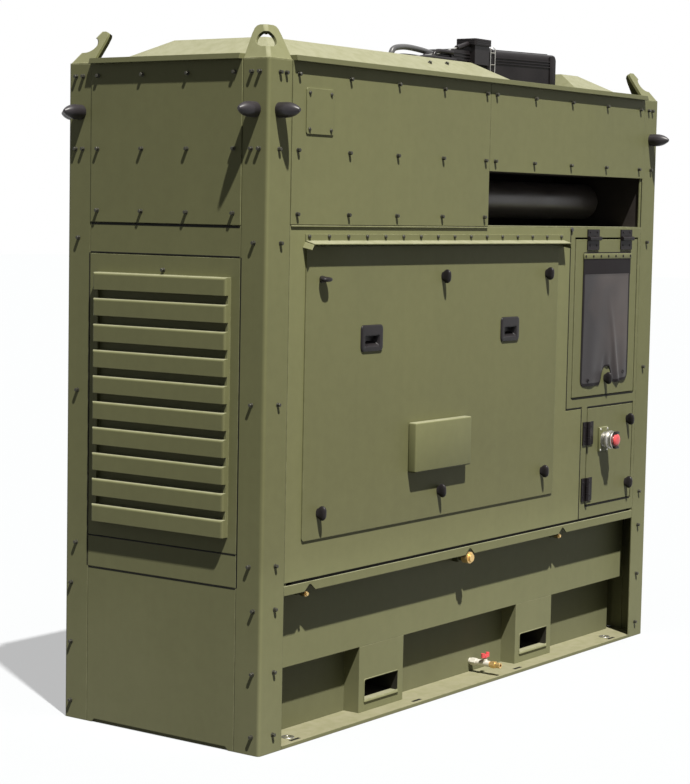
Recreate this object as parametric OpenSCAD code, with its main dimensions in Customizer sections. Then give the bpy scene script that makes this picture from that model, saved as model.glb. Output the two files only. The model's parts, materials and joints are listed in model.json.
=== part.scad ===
// Diesel generator set in a folded-sheet housing on a tank base.
// Millimetres. Origin at the middle of the footprint, on the ground, +Z up.
// The long front faces -Y and the louvred end that shows faces -X.

/* [Overall] */
// Length over the corner posts
length = 2200; // [2150:10:2500]
// Width over the corner posts
width = 720; // [700:10:860]
// Height of the upright faces of the posts
post_height = 1876; // [1850:2:1960]

/* [Posts and skin] */
// Thickness of the folded post sheet
post_sheet = 4; // [3:0.5:6]
// Post face width on the long sides
post_face = 100; // [90:1:108]
// Post face width on the ends
post_end_face = 87; // [76:1:100]
// Outer radius of the post fold
fold_r = 10; // [7:1:16]
// Thickness of the skin panels
panel_sheet = 3; // [2:0.5:4]
// Width of the set-back lip behind the upper panels
upper_lip = 38; // [30:1:46]
// Length of the set-back lip behind the end panels
end_lip = 34; // [28:1:44]
// Gap along the edges of neighbouring panels
panel_gap = 2; // [1:0.25:2.5]
// How far the upper panels stand proud
panel_lap = 2; // [1:0.5:3]

/* [Levels] */
// Bottom edge of the lit strip along the base
strip_z = 427; // [418:1:434]
// Height of the lit strip
strip_h = 26; // [20:1:32]
// Shadow gap over the strip
base_gap = 9; // [6:1:12]
// Height of the upper panels
upper_h = 439; // [420:1:460]
// Sheet of the air duct
duct_sheet = 3; // [2:0.5:4]
// Thickness of the ledge under the air opening
duct_floor = 4; // [3:0.5:6]
// Height of the air opening
air_h = 171; // [150:1:190]
// Length of the feet of the end lower panel
end_foot = 18; // [12:1:30]
// Height of the arch between the feet of the end lower panel
end_notch = 10; // [10:0.5:20]
// Top edge of the end lower panel
end_low_z = 451; // [430:1:470]
// Height of the band under the louvre panel
low_band = 94; // [84:1:104]
// Height of the band over the louvre panel
high_band = 87; // [78:1:96]
// Step of the end band below the waist
waist_step = 4; // [3:0.5:5]

/* [Louvres] */
// Spacing of the louvres
louvre_pitch = 73; // [70:1:78]
// Height of one pressed hood
hood_h = 49; // [40:1:56]
// Corner radius of a pressed hood
hood_r = 7; // [5:0.5:10]
// How far a hood stands out
hood_out = 24; // [16:1:30]
// Sheet left beside a row of louvres
louvre_side = 30; // [24:1:50]
// Least sheet left under the last hood
louvre_foot = 40; // [30:1:50]
// Distance from the panel top to the first hood
louvre_head = 52; // [46:1:56]
// Width of the upright wall that joins the hoods at each end
rim_w = 9; // [7:1:12]
// How far that wall stands out
rim_out = 11; // [7:1:14]

/* [Base] */
// Thickness of the ground plate
plate_t = 10; // [6:1:10]
// Depth of the beam web behind the post faces
web_in = 58; // [50:1:70]
// Depth of the tank wall behind the post faces
tank_in = 112; // [104:1:120]
// Bottom of the beam web
web_z = 207; // [195:1:220]
// Folded sheet of the base beams
beam_sheet = 4; // [3:0.5:6]
// Distance from the ends to the tank and webs
tank_end = 56; // [52:1:70]
// Distance between the fork pockets
fork_spacing = 880; // [820:10:920]
// Width of a fork pocket box
fork_box = 228; // [220:1:250]
// Width of a fork opening
fork_w = 172; // [160:1:190]
// Height of a fork opening
fork_h = 60; // [56:1:90]
// Bottom of a fork opening
fork_z = 44; // [36:1:60]
// Length of a drain slot in the ground plate
slot_len = 40; // [30:1:50]
// Width of a drain slot in the ground plate
slot_w = 8; // [6:0.5:10]
// Distance from the long sides to the drain slots
slot_y = 18; // [14:1:24]
// Distance from the left post to the first nipple
nipple_in = 120; // [110:2:140]
// Distance from the middle to the second nipple
nipple_mid = 54; // [44:1:64]
// Distance from the right post to the last nipple
nipple_far = 484; // [460:2:500]
// Distance of the nipples under the strip
nipple_down = 11; // [9:1:16]
// Radius of the small nipples
nipple_r = 8; // [6:0.5:10]
// Radius of the middle nipple
nipple_big = 19; // [16:0.5:21]
// Hold-down hole radius
hold_r = 9; // [7:0.5:11]
// Hold-down hole distance from the ends
hold_x = 190; // [170:5:220]
// Hold-down hole distance from the long sides
hold_y = 46; // [36:1:60]

/* [Roof] */
// Overhang of the roof lid
lid_over = 17; // [12:1:24]
// Run of the sloped lid edge
lid_slope = 5; // [3:0.5:8]
// Height of the roof lid edge
lid_h = 15; // [12:1:20]
// Sheet of the roof lid
lid_sheet = 3; // [2:0.5:4]
// Gap between the lid and the posts
lid_gap = 3; // [2:0.5:6]
// Raised roof: distance from the ends to the foot of the slope
roof_in_x = 112; // [106:2:140]
// Raised roof: distance from the sides to the foot of the slope
roof_in_y = 78; // [70:2:100]
// Run of the sloped roof edge
roof_run = 117; // [90:1:124]
// Rise of the raised roof over the lid
roof_rise = 64; // [50:1:72]
// Distance from the right end to the roof recess
recess_in = 340; // [330:5:370]
// Length of the roof recess
recess_len = 570; // [560:5:590]
// Length of the air cleaner
cleaner_len = 316; // [300:2:330]
// Depth of the air cleaner across the roof
cleaner_d = 210; // [190:5:230]
// Height of the air cleaner over the lid
cleaner_h = 121; // [110:1:130]
// Turn of the air cleaner toward the front, in degrees
cleaner_turn = 15; // [10:1:20]
// Distance from the recess end to the near corner of the air cleaner
cleaner_in = 94; // [86:2:110]
// Distance from the front to the near corner of the air cleaner
cleaner_front = 163; // [150:1:176]
// Rounding of the air cleaner
cleaner_r = 22; // [16:1:28]
// Width of the band round the air cleaner
cleaner_band = 26; // [20:1:32]
// Thickness of the band round the air cleaner
band_t = 6; // [4:0.5:8]
// Length of the tapered neck of the air cleaner
neck_len = 200; // [180:5:215]
// Height of the neck at the hose
neck_h = 42; // [38:1:48]
// Depth of the neck at the hose
neck_d = 90; // [80:2:110]
// Clearance under the neck
neck_up = 2; // [1:0.5:4]
// Width of the raised air intake
intake_w = 98; // [88:1:106]
// Depth of the raised air intake
intake_d = 76; // [66:1:90]
// Height of the raised air intake
intake_h = 21; // [16:1:28]
// Distance from the neck side to the front of the air intake
intake_in = 20; // [14:1:26]
// Radius of the intake hose
hose_r = 9; // [8:0.5:12]
// Bend radius of the intake hose
hose_bend = 18; // [15:1:22]
// Straight length of the intake hose
hose_len = 332; // [300:2:360]
// Distance from the neck side to the hose
hose_in = 20; // [16:1:26]

/* [Lifting lugs] */
// Lug plate thickness
lug_t = 18; // [14:1:22]
// Lug width at its top
lug_top = 68; // [62:1:80]
// Lug height along its slope
lug_h = 102; // [96:1:116]
// Lean of the lug toward the middle, in degrees
lug_lean = 23; // [15:1:28]
// Extra metal over the lifting hole
lug_crown = 14; // [10:0.5:16]
// Radius of the lifting hole
lug_hole_r = 24; // [18:1:26]
// Height of the sloped post cap
cap_h = 30; // [24:1:36]
// Inward lean of the post cap
cap_lean = 4; // [2:0.5:8]

/* [Hatch] */
// Frame left of the hatch
hatch_left = 71; // [60:1:90]
// Frame right of the hatch
hatch_right = 80; // [70:1:90]
// Frame under the hatch
hatch_foot = 107; // [90:1:120]
// Frame over the hatch
hatch_head = 56; // [50:1:70]
// Hatch sheet thickness
hatch_t = 4; // [3:0.5:6]
// Distance from the hatch edge to the opening behind it
hatch_lap = 36; // [28:1:44]
// Drip rail projection
drip_out = 31; // [24:1:36]
// Distance from the seam to the drip rail end
drip_end = 46; // [36:1:56]
// Fall of the drip rail toward its edge
drip_fall = 8; // [5:0.5:11]
// Drip rail height
drip_h = 21; // [18:1:26]
// Drip rail sheet
drip_t = 3; // [2:0.5:4]
// Distance from the hatch left edge to the first handle
handle_left = 320; // [300:5:340]
// Distance from the hatch right edge to the second handle
handle_right = 288; // [270:2:310]
// Height of the handles over the middle of the hatch
handle_up = 140; // [120:2:160]
// Width of the raised box on the hatch
cover_w = 327; // [300:1:350]
// Height of the raised box on the hatch
cover_h = 148; // [130:1:160]
// Corner radius of the raised box
cover_r = 10; // [6:1:16]
// Depth of the raised box on the hatch
cover_d = 42; // [34:1:50]
// Distance from the hatch left edge to the raised box
cover_left = 518; // [480:2:540]
// Distance from the hatch bottom edge to the raised box
cover_foot = 146; // [120:2:160]
// Distance from the hatch left edge to the first latches
knob_left = 90; // [70:1:110]
// Distance from the hatch right edge to the last latches
knob_right = 57; // [46:1:70]
// Distance from the hatch bottom edge to the latches
knob_foot = 73; // [60:1:90]
// Distance from the hatch top edge to the latches
knob_head = 95; // [84:1:110]
// Flush handle width
handle_w = 117; // [100:1:130]
// Flush handle height
handle_h = 84; // [70:1:95]
// Rim beside the handle cup
handle_rim = 17; // [15:1:22]
// Depth of the handle cup
handle_cup = 20; // [14:1:26]
// Radius of the quarter-turn latch knobs
knob_r = 14; // [12:0.5:16]
// Length of the wing of a latch knob
knob_len = 47; // [40:1:52]
// Thickness of the wing of a latch knob
knob_wing = 12; // [10:1:16]
// Size of the square access plate
access_w = 124; // [110:1:140]
// Distance from the panel edge to the access plate
access_left = 59; // [50:1:70]
// Distance from the panel top to the access plate
access_head = 68; // [56:1:80]
// Thickness of the access plate
access_t = 3; // [2:0.5:4]
// How far a latch knob stands out
knob_out = 32; // [26:1:36]

/* [Right column] */
// Width of the rubber seam
seam_w = 6; // [4:0.5:8]
// Column left between the doors and the right post
column_edge = 22; // [20:0.5:28]
// Control door width
control_w = 424; // [400:1:440]
// Column left of the control door
control_side = 33; // [28:1:40]
// Column over the control door
control_head = 38; // [36:1:46]
// Column between the two doors
door_band = 43; // [38:1:48]
// Connection door width
connect_w = 313; // [300:1:330]
// Column left of the connection door
connect_side = 41; // [40:1:48]
// Connection door height
connect_h = 326; // [310:1:340]
// Column under the connection door
connect_foot = 44; // [36:1:52]
// Wall of the boxes behind the doors
box_wall = 2; // [1.5:0.5:2.5]
// Gap round a door
door_gap = 6; // [5.5:0.25:7]
// Depth of a folded door edge
door_edge = 16; // [12:1:20]
// Depth of the boxes behind the doors
box_depth = 120; // [90:5:160]
// Distance from the connection door ends to its latches
connect_knob = 53; // [44:1:62]
// Distance from the connection door edge to its latches
connect_knob_side = 23; // [20:1:28]
// Hinge length
hinge_len = 78; // [66:1:90]
// Distance from the control door left edge to its first hinge
hinge_left = 72; // [60:1:84]
// Distance from the control door right edge to its second hinge
hinge_right = 45; // [36:1:56]
// Distance from the connection door bottom to its low hinge
hinge_low = 14; // [8:1:22]
// Distance from the connection door top to its high hinge
hinge_high = 44; // [36:1:52]
// Hinge knuckle radius
knuckle_r = 7; // [6:0.5:8]
// Hinge pin radius
pin_r = 3.5; // [3:0.25:4]
// Radial running clearance of hinge pins
pin_play = 0.06; // [0.03:0.01:0.1]
// Hinge leaf thickness
leaf_t = 4; // [3:0.5:5]
// Hinge leaf height
leaf_h = 30; // [24:1:34]
// Door left beside the flap
flap_side = 50; // [44:1:58]
// Door left under the flap
flap_foot = 33; // [26:1:40]
// Door left over the flap
flap_head = 43; // [40:1:50]
// Distance from the door middle to its latch
latch_off = 22; // [0:1:30]
// Height of the latch over the door bottom
latch_up = 55; // [48:1:62]
// Flap thickness in the model
flap_t = 3; // [2:0.5:4]

/* [Small fittings] */
// Rubber bumper radius
bumper_r = 21; // [17:0.5:24]
// Rubber bumper length
bumper_len = 68; // [56:1:80]
// Straight length of a bumper at its foot
bumper_base = 24; // [16:1:30]
// Length taken off the pointed bumper nose
bumper_tip = 5; // [3:0.5:8]
// Bumper distance from the post top
bumper_down = 134; // [116:2:150]
// Bumper distance from the post edge
bumper_in = 47; // [40:1:56]
// Drain valve distance from the middle
valve_off = 137; // [60:1:160]
// Drain valve height
valve_z = 44; // [36:1:60]
// Drain valve body radius
valve_r = 10; // [9:0.5:12]
// Length of the drain valve out of the tank wall
valve_len = 116; // [104:1:120]
// Width of the butterfly drain lever
lever_len = 40; // [34:1:48]
// Distance from the connection door left edge to the stop button
stop_left = 104; // [96:1:130]
// Distance from the connection door top to the stop button
stop_head = 110; // [96:1:124]
// Stop button reach
stop_out = 56; // [48:1:62]
// Stop button radius
stop_r = 24; // [20:1:27]
// Depth of the silencer behind the air opening
silencer_in = 140; // [110:2:170]
// Silencer radius in the air opening
silencer_r = 60; // [50:1:68]

/* [Hidden] */
$fn = 48;
nipple_x = [post_face + nipple_in, length / 2 - nipple_mid, length - post_face - nipple_far];
nipple_z = strip_z - nipple_down;
strip_top = strip_z + strip_h;
waist_z = post_height - upper_h;
air_top = waist_z + air_h;
louvre_z0 = end_low_z + low_band;
louvre_z1 = waist_z - waist_step - high_band;
louvres = floor((louvre_z1 - louvre_z0 - louvre_head - louvre_foot - hood_h) / louvre_pitch) + 1;
bumper_z = post_height - bumper_down;
valve_x = length / 2 + valve_off;
frame_z = strip_top + base_gap;
panel_in = post_face + panel_gap;
end_panel_in = post_end_face + panel_gap;
lip_y = panel_sheet + post_sheet;
lid_z = post_height;
lid_top = lid_z + lid_h;
split_x = length / 2;
hinge_y = -(knuckle_r + 0.5);
leaf_root = knuckle_r + 1;
knuckle_gap = 0.5;
box_grow = door_gap + 1 + box_wall;
lower_lip = column_edge - box_grow;
connect_x = length - panel_in - column_edge - connect_w;
connect_z = frame_z + connect_foot;
control_x = length - panel_in - column_edge - control_w;
control_z = connect_z + connect_h + door_band;
control_top = waist_z - control_head;
control_h = control_top - control_z;
seam_x = control_x - control_side - seam_w;
seam_low_x = connect_x - connect_side - seam_w;
seam_step_z = connect_z + connect_h + 2;
hatch_x = panel_in + hatch_left;
hatch_w = seam_x - hatch_right - hatch_x;
hatch_z = frame_z + hatch_foot;
hatch_h = waist_z - hatch_head - hatch_z;
control_axis_z = control_top + door_gap / 2;
connect_axis_x = connect_x - door_gap / 2;
louvre_w = width - 2 * end_panel_in - 2 * louvre_side;
recess_end = length - recess_in;
recess_x = recess_end - recess_len;
air_x0 = split_x + 2;
air_floor_z = waist_z + duct_floor;
duct_back = width / 2 - duct_sheet;
duct_w = length - panel_in - air_x0;
hatch_mid_z = hatch_z + hatch_h / 2;
slot_x = [
  hold_x - 5, fork_mid(-1) + fork_box / 2 + slot_y,
  fork_mid(1) - fork_box / 2 - slot_len - slot_w, length - hold_x - 5
];
lug_edge = 1;
lug_room = 3;
lug_foot = (post_end_face + lid_gap - lug_edge - lug_room - lug_t * sin(45) * cos(lug_lean)) / sin(45);
lug_in = lug_foot / 2 * sin(45) + lug_edge;
lug_hole_up = lug_h - lug_top / 2 - lug_crown;

// Places measured from the front left corner of the footprint
module from_corner() {
  translate([-length / 2, -width / 2, 0]) children();
}

// Half turn for the pieces of the back and the right end
module half_turn() {
  rotate([0, 0, 180]) children();
}

module span(x0, x1, y0, y1, z0, z1) {
  translate([x0, y0, z0]) cube([x1 - x0, y1 - y0, z1 - z0]);
}

module along_x(x0, x1) {
  translate([x0, 0, 0]) rotate([90, 0, 90]) linear_extrude(x1 - x0) children();
}

module along_y(y0, y1) {
  translate([0, y1, 0]) rotate([90, 0, 0]) linear_extrude(y1 - y0) children();
}

// Round-cornered rectangle from its lower left corner
module round_rect(w, h, r) {
  translate([r, 0]) square([w - 2 * r, h]);
  translate([0, r]) square([w, h - 2 * r]);
  for (x = [r, w - r], y = [r, h - r]) translate([x, y]) circle(r);
}

// Corner posts
module fold_section() {
  translate([fold_r, 0]) square([post_face - fold_r, post_sheet]);
  translate([0, fold_r]) square([post_sheet, post_end_face - fold_r]);
  intersection() {
    square([fold_r, fold_r]);
    difference() {
      translate([fold_r, fold_r]) circle(fold_r);
      translate([fold_r, fold_r]) circle(fold_r - post_sheet);
    }
  }
}

module front_lip(w) {
  translate([post_face - 2 * post_sheet, 0]) square([2 * post_sheet, lip_y]);
  translate([post_face - 2 * post_sheet, panel_sheet]) square([2 * post_sheet + w, post_sheet]);
}

module side_lip(w) {
  translate([0, post_end_face - 2 * post_sheet]) square([lip_y, 2 * post_sheet]);
  translate([panel_sheet, post_end_face - 2 * post_sheet]) square([post_sheet, 2 * post_sheet + w]);
}

module post() {
  color("olivedrab") union() {
    linear_extrude(post_height) fold_section();
    translate([0, 0, strip_top]) linear_extrude(air_top - strip_top) front_lip(lower_lip);
    translate([0, 0, air_top]) linear_extrude(post_height - air_top) front_lip(upper_lip);
    translate([0, 0, plate_t]) linear_extrude(post_height - plate_t) side_lip(end_lip);
  }
}

module post_front_left() { from_corner() post(); }
module post_front_right() { mirror([1, 0, 0]) from_corner() post(); }
module post_rear_left() { mirror([0, 1, 0]) from_corner() post(); }
module post_rear_right() { half_turn() from_corner() post(); }

// Lifting lugs on sloped post caps
module lug_outline() {
  difference() {
    polygon([
      [-lug_foot / 2, 0], [lug_foot / 2, 0],
      [lug_top * 0.5, lug_h * 0.66], [lug_top * 0.42, lug_h * 0.89], [lug_top * 0.29, lug_h],
      [-lug_top * 0.29, lug_h], [-lug_top * 0.42, lug_h * 0.89], [-lug_top * 0.5, lug_h * 0.66]
    ]);
    translate([0, lug_hole_up]) circle(lug_hole_r);
  }
}

module post_cap() {
  intersection() {
    linear_extrude(cap_h) polygon([
      [fold_r * 0.3, fold_r * 0.3], [fold_r, 0], [post_face, 0], [post_face * 0.9, post_sheet * 3],
      [post_sheet * 3, post_end_face * 0.9], [0, post_end_face], [0, fold_r]
    ]);
    along_x(0, post_face) polygon([
      [0, 0], [post_end_face, 0], [post_end_face * 0.5, cap_h], [cap_lean, cap_h]
    ]);
    along_y(0, post_end_face) polygon([
      [0, 0], [post_face, 0], [post_face * 0.5, cap_h], [cap_lean, cap_h]
    ]);
  }
}

module lug() {
  color("olivedrab") union() {
    translate([0, 0, post_height]) post_cap();
    difference() {
      translate([lug_in, lug_in, post_height + lug_edge * 2])
        rotate([0, 0, -45])
        rotate([90 - lug_lean, 0, 0])
        translate([0, 0, -lug_t])
        linear_extrude(lug_t) lug_outline();
      translate([-lug_h, -lug_h, post_height - lug_h]) cube([3 * lug_h, 3 * lug_h, lug_h]);
    }
  }
}

module lifting_lugs() {
  from_corner() lug();
  mirror([1, 0, 0]) from_corner() lug();
  mirror([0, 1, 0]) from_corner() lug();
  half_turn() from_corner() lug();
}

// Base with tank, beams and fork pockets
module base_plate() {
  color("darkolivegreen") from_corner() difference() {
    linear_extrude(plate_t) union() {
      translate([panel_in, 0]) square([length - 2 * panel_in, width]);
      translate([post_sheet, post_end_face]) square([length - 2 * post_sheet, width - 2 * post_end_face]);
      translate([fold_r, fold_r]) square([length - 2 * fold_r, width - 2 * fold_r]);
    }
    for (x = [hold_x, length - hold_x], y = [hold_y, width - hold_y])
      translate([x, y, -1]) cylinder(r = hold_r, h = plate_t + 2);
    for (x = slot_x, y = [slot_y, width - slot_y])
      translate([x - slot_len / 2, y - slot_w / 2, -1]) cube([slot_len, slot_w, plate_t + 2]);
  }
}

function fork_mid(side) = length / 2 + side * fork_spacing / 2;

module tank_section() {
  polygon([
    [tank_in, plate_t], [width - tank_in, plate_t],
    [width - tank_in, web_z + beam_sheet],
    [width - web_in - beam_sheet, web_z + beam_sheet],
    [width - web_in - beam_sheet, strip_top - beam_sheet],
    [web_in + beam_sheet, strip_top - beam_sheet],
    [web_in + beam_sheet, web_z + beam_sheet],
    [tank_in, web_z + beam_sheet]
  ]);
}

module fuel_tank() {
  color("darkolivegreen") from_corner() difference() {
    along_x(tank_end, length - tank_end) tank_section();
    for (s = [-1, 1])
      span(fork_mid(s) - fork_box / 2, fork_mid(s) + fork_box / 2, 0, width, 0, web_z);
    translate([valve_x, tank_in - 1, valve_z]) rotate([-90, 0, 0]) cylinder(r = valve_r * 0.6, h = 21);
  }
}

module base_beam() {
  color("darkolivegreen") from_corner() difference() {
    union() {
      along_x(tank_end, length - tank_end) {
        translate([web_in, web_z]) square([beam_sheet, strip_top - web_z]);
        translate([web_in, web_z]) square([tank_in - web_in, beam_sheet]);
      }
      along_x(panel_in, length - panel_in) {
        translate([0, strip_z]) square([beam_sheet, strip_h]);
        translate([0, strip_top - beam_sheet]) square([web_in + beam_sheet, beam_sheet]);
      }
    }
    for (x = nipple_x)
      translate([x, -1, strip_z - 1]) rotate([-90, 0, 0]) mirror([0, 1, 0])
      linear_extrude(beam_sheet + 2)
      polygon([
        [-1.4 * nipple_big, 0], [1.4 * nipple_big, 0],
        [nipple_r / 2, nipple_big], [-nipple_r / 2, nipple_big]
      ]);
  }
}

module base_beam_front() { base_beam(); }
module base_beam_rear() { half_turn() base_beam(); }

module fork_pocket(side) {
  color("darkolivegreen") from_corner() difference() {
    span(fork_mid(side) - fork_box / 2, fork_mid(side) + fork_box / 2,
      web_in, width - web_in, plate_t, web_z);
    span(fork_mid(side) - fork_w / 2, fork_mid(side) + fork_w / 2, 0, width, fork_z, fork_z + fork_h);
  }
}

module fork_pocket_left() { fork_pocket(-1); }
module fork_pocket_right() { fork_pocket(1); }

// Drain valve with its butterfly lever
valve_y = tank_in - valve_len * 0.5;
lever_gap = 5;
stem_h = valve_r + 5;

module drain_valve() {
  color("silver") from_corner() translate([valve_x, 0, valve_z]) difference() {
    union() {
      translate([0, tank_in - valve_len * 0.66, 0]) rotate([-90, 0, 0])
        cylinder(r = valve_r, h = valve_len * 0.66);
      translate([0, tank_in - valve_len * 0.22, 0]) rotate([-90, 0, 0])
        cylinder(r = valve_r * 1.25, h = valve_len * 0.16, $fn = 6);
      translate([0, valve_y, 0]) cylinder(r = valve_r * 0.75, h = stem_h);
      translate([0, tank_in - 1, 0]) rotate([-90, 0, 0]) cylinder(r = valve_r * 0.58, h = 20);
    }
    translate([0, valve_y, 0]) cylinder(r = pin_r + pin_play, h = stem_h + 2);
  }
}

module drain_spout() {
  color("goldenrod") from_corner()
    translate([valve_x, tank_in - valve_len, valve_z]) rotate([-90, 0, 0]) difference() {
    union() {
      cylinder(r = valve_r * 0.9, h = valve_len * 0.34);
      translate([0, 0, valve_len * 0.16]) cylinder(r = valve_r * 1.2, h = valve_len * 0.13, $fn = 6);
    }
    translate([0, 0, -1]) cylinder(r = valve_r * 0.55, h = valve_len * 0.25);
  }
}

module drain_lever() {
  color("firebrick") from_corner() translate([valve_x, valve_y, valve_z]) {
    translate([0, 0, 1]) cylinder(r = pin_r, h = stem_h + lever_gap);
    translate([0, 0, stem_h + lever_gap]) {
      cylinder(r = 8, h = 7);
      for (s = [-1, 1]) translate([s * (lever_len / 2 - 6), 0, 0]) {
        cylinder(r = 6, h = 14);
        translate([s < 0 ? 0 : -lever_len / 2 + 6, -4, 0]) cube([lever_len / 2 - 6, 8, 9]);
      }
    }
  }
}

module nipple(r, reach) {
  rotate([90, 0, 0]) {
    cylinder(r = r, h = reach / 3, $fn = 6);
    cylinder(r = r * 0.65, h = reach);
    translate([0, 0, reach * 0.55]) cylinder(r = r * 0.95, h = reach * 0.35);
  }
}

module bleed_nipples() {
  color("goldenrod") from_corner() {
    for (x = [nipple_x[0], nipple_x[2]])
      translate([x, web_in, nipple_z]) nipple(nipple_r, web_in - nipple_r);
    translate([nipple_x[1], web_in, nipple_z]) nipple(nipple_big, web_in + nipple_r);
  }
}

// Ends: upper panel, bands, louvre panel, lower panel
module end_sheet(z0, z1) {
  span(0, panel_sheet, end_panel_in, width - end_panel_in, z0, z1);
}

module end_upper_panel() {
  color("olive") from_corner()
    span(-panel_lap, panel_sheet, end_panel_in, width - end_panel_in,
      waist_z - waist_step + panel_gap, post_height);
}

module end_bands() {
  color("olive") from_corner() {
    end_sheet(louvre_z1 + panel_gap, waist_z - waist_step);
    end_sheet(end_low_z + panel_gap, louvre_z0 - panel_gap);
  }
}

// One pressed hood: flat face, round shoulder on top, round upright corners, open below
module hood_plan(w, grow) {
  translate([-hood_out - grow, -grow]) difference() {
    round_rect(2 * hood_out, w + 2 * grow, hood_r + grow);
    translate([hood_out + grow + panel_sheet, -1]) square([hood_out, w + 2 * grow + 2]);
  }
}

module hood_section(grow) {
  difference() {
    translate([-hood_out - grow, -hood_h]) round_rect(2 * hood_out, 2 * hood_h + grow, hood_r + grow);
    translate([-hood_out - grow - 1, -hood_h - 1]) square([2 * hood_out + 2, hood_h + 1]);
  }
}

module hood(w, grow) {
  intersection() {
    linear_extrude(hood_h + grow) hood_plan(w, grow);
    along_y(-grow, w + grow) hood_section(grow);
  }
}

function hood_z(i) = louvre_z1 - louvre_head - hood_h - i * louvre_pitch;

module louvre_panel() {
  color("olive") from_corner() difference() {
    union() {
      end_sheet(louvre_z0, louvre_z1);
      for (i = [0 : louvres - 1])
        translate([0, end_panel_in + louvre_side, hood_z(i)]) hood(louvre_w, 0);
      translate([0, end_panel_in + louvre_side, hood_z(louvres - 1)]) louvre_rims();
    }
    for (i = [0 : louvres - 1])
      translate([0, end_panel_in + louvre_side, hood_z(i)]) hood_hollow();
  }
}

// Upright walls that join the hoods at their ends
module louvre_rims() {
  for (y = [0, louvre_w - rim_w])
    span(-rim_out, panel_sheet, y, y + rim_w, 0, (louvres - 1) * louvre_pitch + hood_h - hood_r);
}

module hood_hollow() {
  translate([0, 0, -0.5]) intersection() {
    linear_extrude(hood_h - panel_sheet + 0.5) hood_plan(louvre_w, -panel_sheet);
    translate([-hood_out, 0, 0]) cube([hood_out + panel_sheet + 1, louvre_w, hood_h]);
  }
  translate([-1, panel_sheet, 0])
    cube([panel_sheet + 2, louvre_w - 2 * panel_sheet, hood_h - 2 * panel_sheet]);
}

module end_lower_panel() {
  color("olive") from_corner() along_x(0, panel_sheet) polygon([
    [end_panel_in, 0], [end_panel_in + end_foot, 0], [end_panel_in + end_foot + end_notch, end_notch],
    [width - end_panel_in - end_foot - end_notch, end_notch], [width - end_panel_in - end_foot, 0],
    [width - end_panel_in, 0], [width - end_panel_in, end_low_z], [end_panel_in, end_low_z]
  ]);
}

module left_upper_panel() { end_upper_panel(); }
module left_bands() { end_bands(); }
module left_louvre_panel() { louvre_panel(); }
module left_lower_panel() { end_lower_panel(); }
module right_upper_panel() { half_turn() end_upper_panel(); }
module right_bands() { half_turn() end_bands(); }
module right_louvre_panel() { half_turn() louvre_panel(); }
module right_lower_panel() { half_turn() end_lower_panel(); }

// Front upper panels and the small access plate
module front_upper_left_panel() {
  color("olive") from_corner()
    span(panel_in, split_x - panel_gap / 2, -panel_lap, panel_sheet, waist_z + panel_gap, post_height);
}

module front_upper_right_panel() {
  color("olive") from_corner()
    span(split_x + panel_gap / 2, length - panel_in, -panel_lap, panel_sheet, air_top, post_height);
}

module access_plate() {
  color("olivedrab") from_corner()
    translate([panel_in + access_left, -panel_lap, post_height - access_head - access_w])
    rotate([90, 0, 0]) linear_extrude(access_t) round_rect(access_w, access_w, access_w / 20);
}

// Air opening: duct of sheets with a black silencer in it
module air_floor() {
  color("dimgray") from_corner() difference() {
    span(air_x0, length - panel_in, 0, width / 2, waist_z, air_floor_z);
    span(length - post_face - lower_lip - panel_gap, length,
      panel_sheet / 2, lip_y + panel_gap, 0, post_height);
  }
}

module air_duct() {
  color("dimgray") from_corner() {
    span(air_x0, length - panel_in, duct_back, width / 2, air_floor_z, air_top + panel_gap + duct_sheet);
    for (x = [air_x0, length - panel_in - duct_sheet])
      span(x, x + duct_sheet, lip_y + panel_gap, duct_back, air_floor_z, air_top + panel_gap);
  }
}

module air_ceiling() {
  color("dimgray") from_corner()
    span(air_x0, length - panel_in - upper_lip, panel_sheet, duct_back,
      air_top + panel_gap, air_top + panel_gap + duct_sheet);
}

silencer_y = silencer_in + silencer_r;
silencer_z = (air_floor_z + air_top) / 2;

module silencer() {
  color("black") from_corner() translate([air_x0, silencer_y, silencer_z]) rotate([0, 90, 0]) {
    translate([0, 0, duct_sheet]) cylinder(r = silencer_r * 0.5, h = duct_w - 2 * duct_sheet);
    translate([0, 0, silencer_r]) cylinder(r = silencer_r, h = duct_w - 2 * silencer_r);
  }
}

// Hatch frame with a step beside the connection door
module frame_outline() {
  polygon([
    [panel_in, frame_z], [seam_low_x, frame_z], [seam_low_x, seam_step_z],
    [seam_x, seam_step_z], [seam_x, waist_z], [panel_in, waist_z]
  ]);
}

module column_outline() {
  polygon([
    [seam_low_x + seam_w, frame_z], [length - panel_in, frame_z], [length - panel_in, waist_z],
    [seam_x + seam_w, waist_z], [seam_x + seam_w, seam_step_z + seam_w],
    [seam_low_x + seam_w, seam_step_z + seam_w]
  ]);
}

module hatch_opening() {
  translate([hatch_x + hatch_lap, hatch_z + hatch_lap])
    round_rect(hatch_w - 2 * hatch_lap, hatch_h - 2 * hatch_lap, 20);
}

module hatch_frame() {
  color("olive") from_corner() along_y(0, panel_sheet) difference() {
    frame_outline();
    hatch_opening();
  }
}

handle_x = [hatch_x + handle_left, hatch_x + hatch_w - handle_right];
knob_x0 = hatch_x + knob_left;
knob_x1 = hatch_x + hatch_w - knob_right;
knob_x = [knob_x0, (knob_x0 + knob_x1) / 2, knob_x1];
knob_z = [hatch_z + knob_foot, hatch_z + hatch_h - knob_head];
handle_z = hatch_mid_z + handle_up;

module handle_outline(grow) {
  translate([-handle_w / 2 - grow, -handle_h / 2 - grow])
    round_rect(handle_w + 2 * grow, handle_h + 2 * grow, 12);
}

module hatch() {
  color("olive") from_corner() along_y(-hatch_t, 0) difference() {
    translate([hatch_x, hatch_z]) round_rect(hatch_w, hatch_h, 8);
    for (x = handle_x) translate([x, handle_z]) handle_outline(-11);
  }
}

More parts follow.
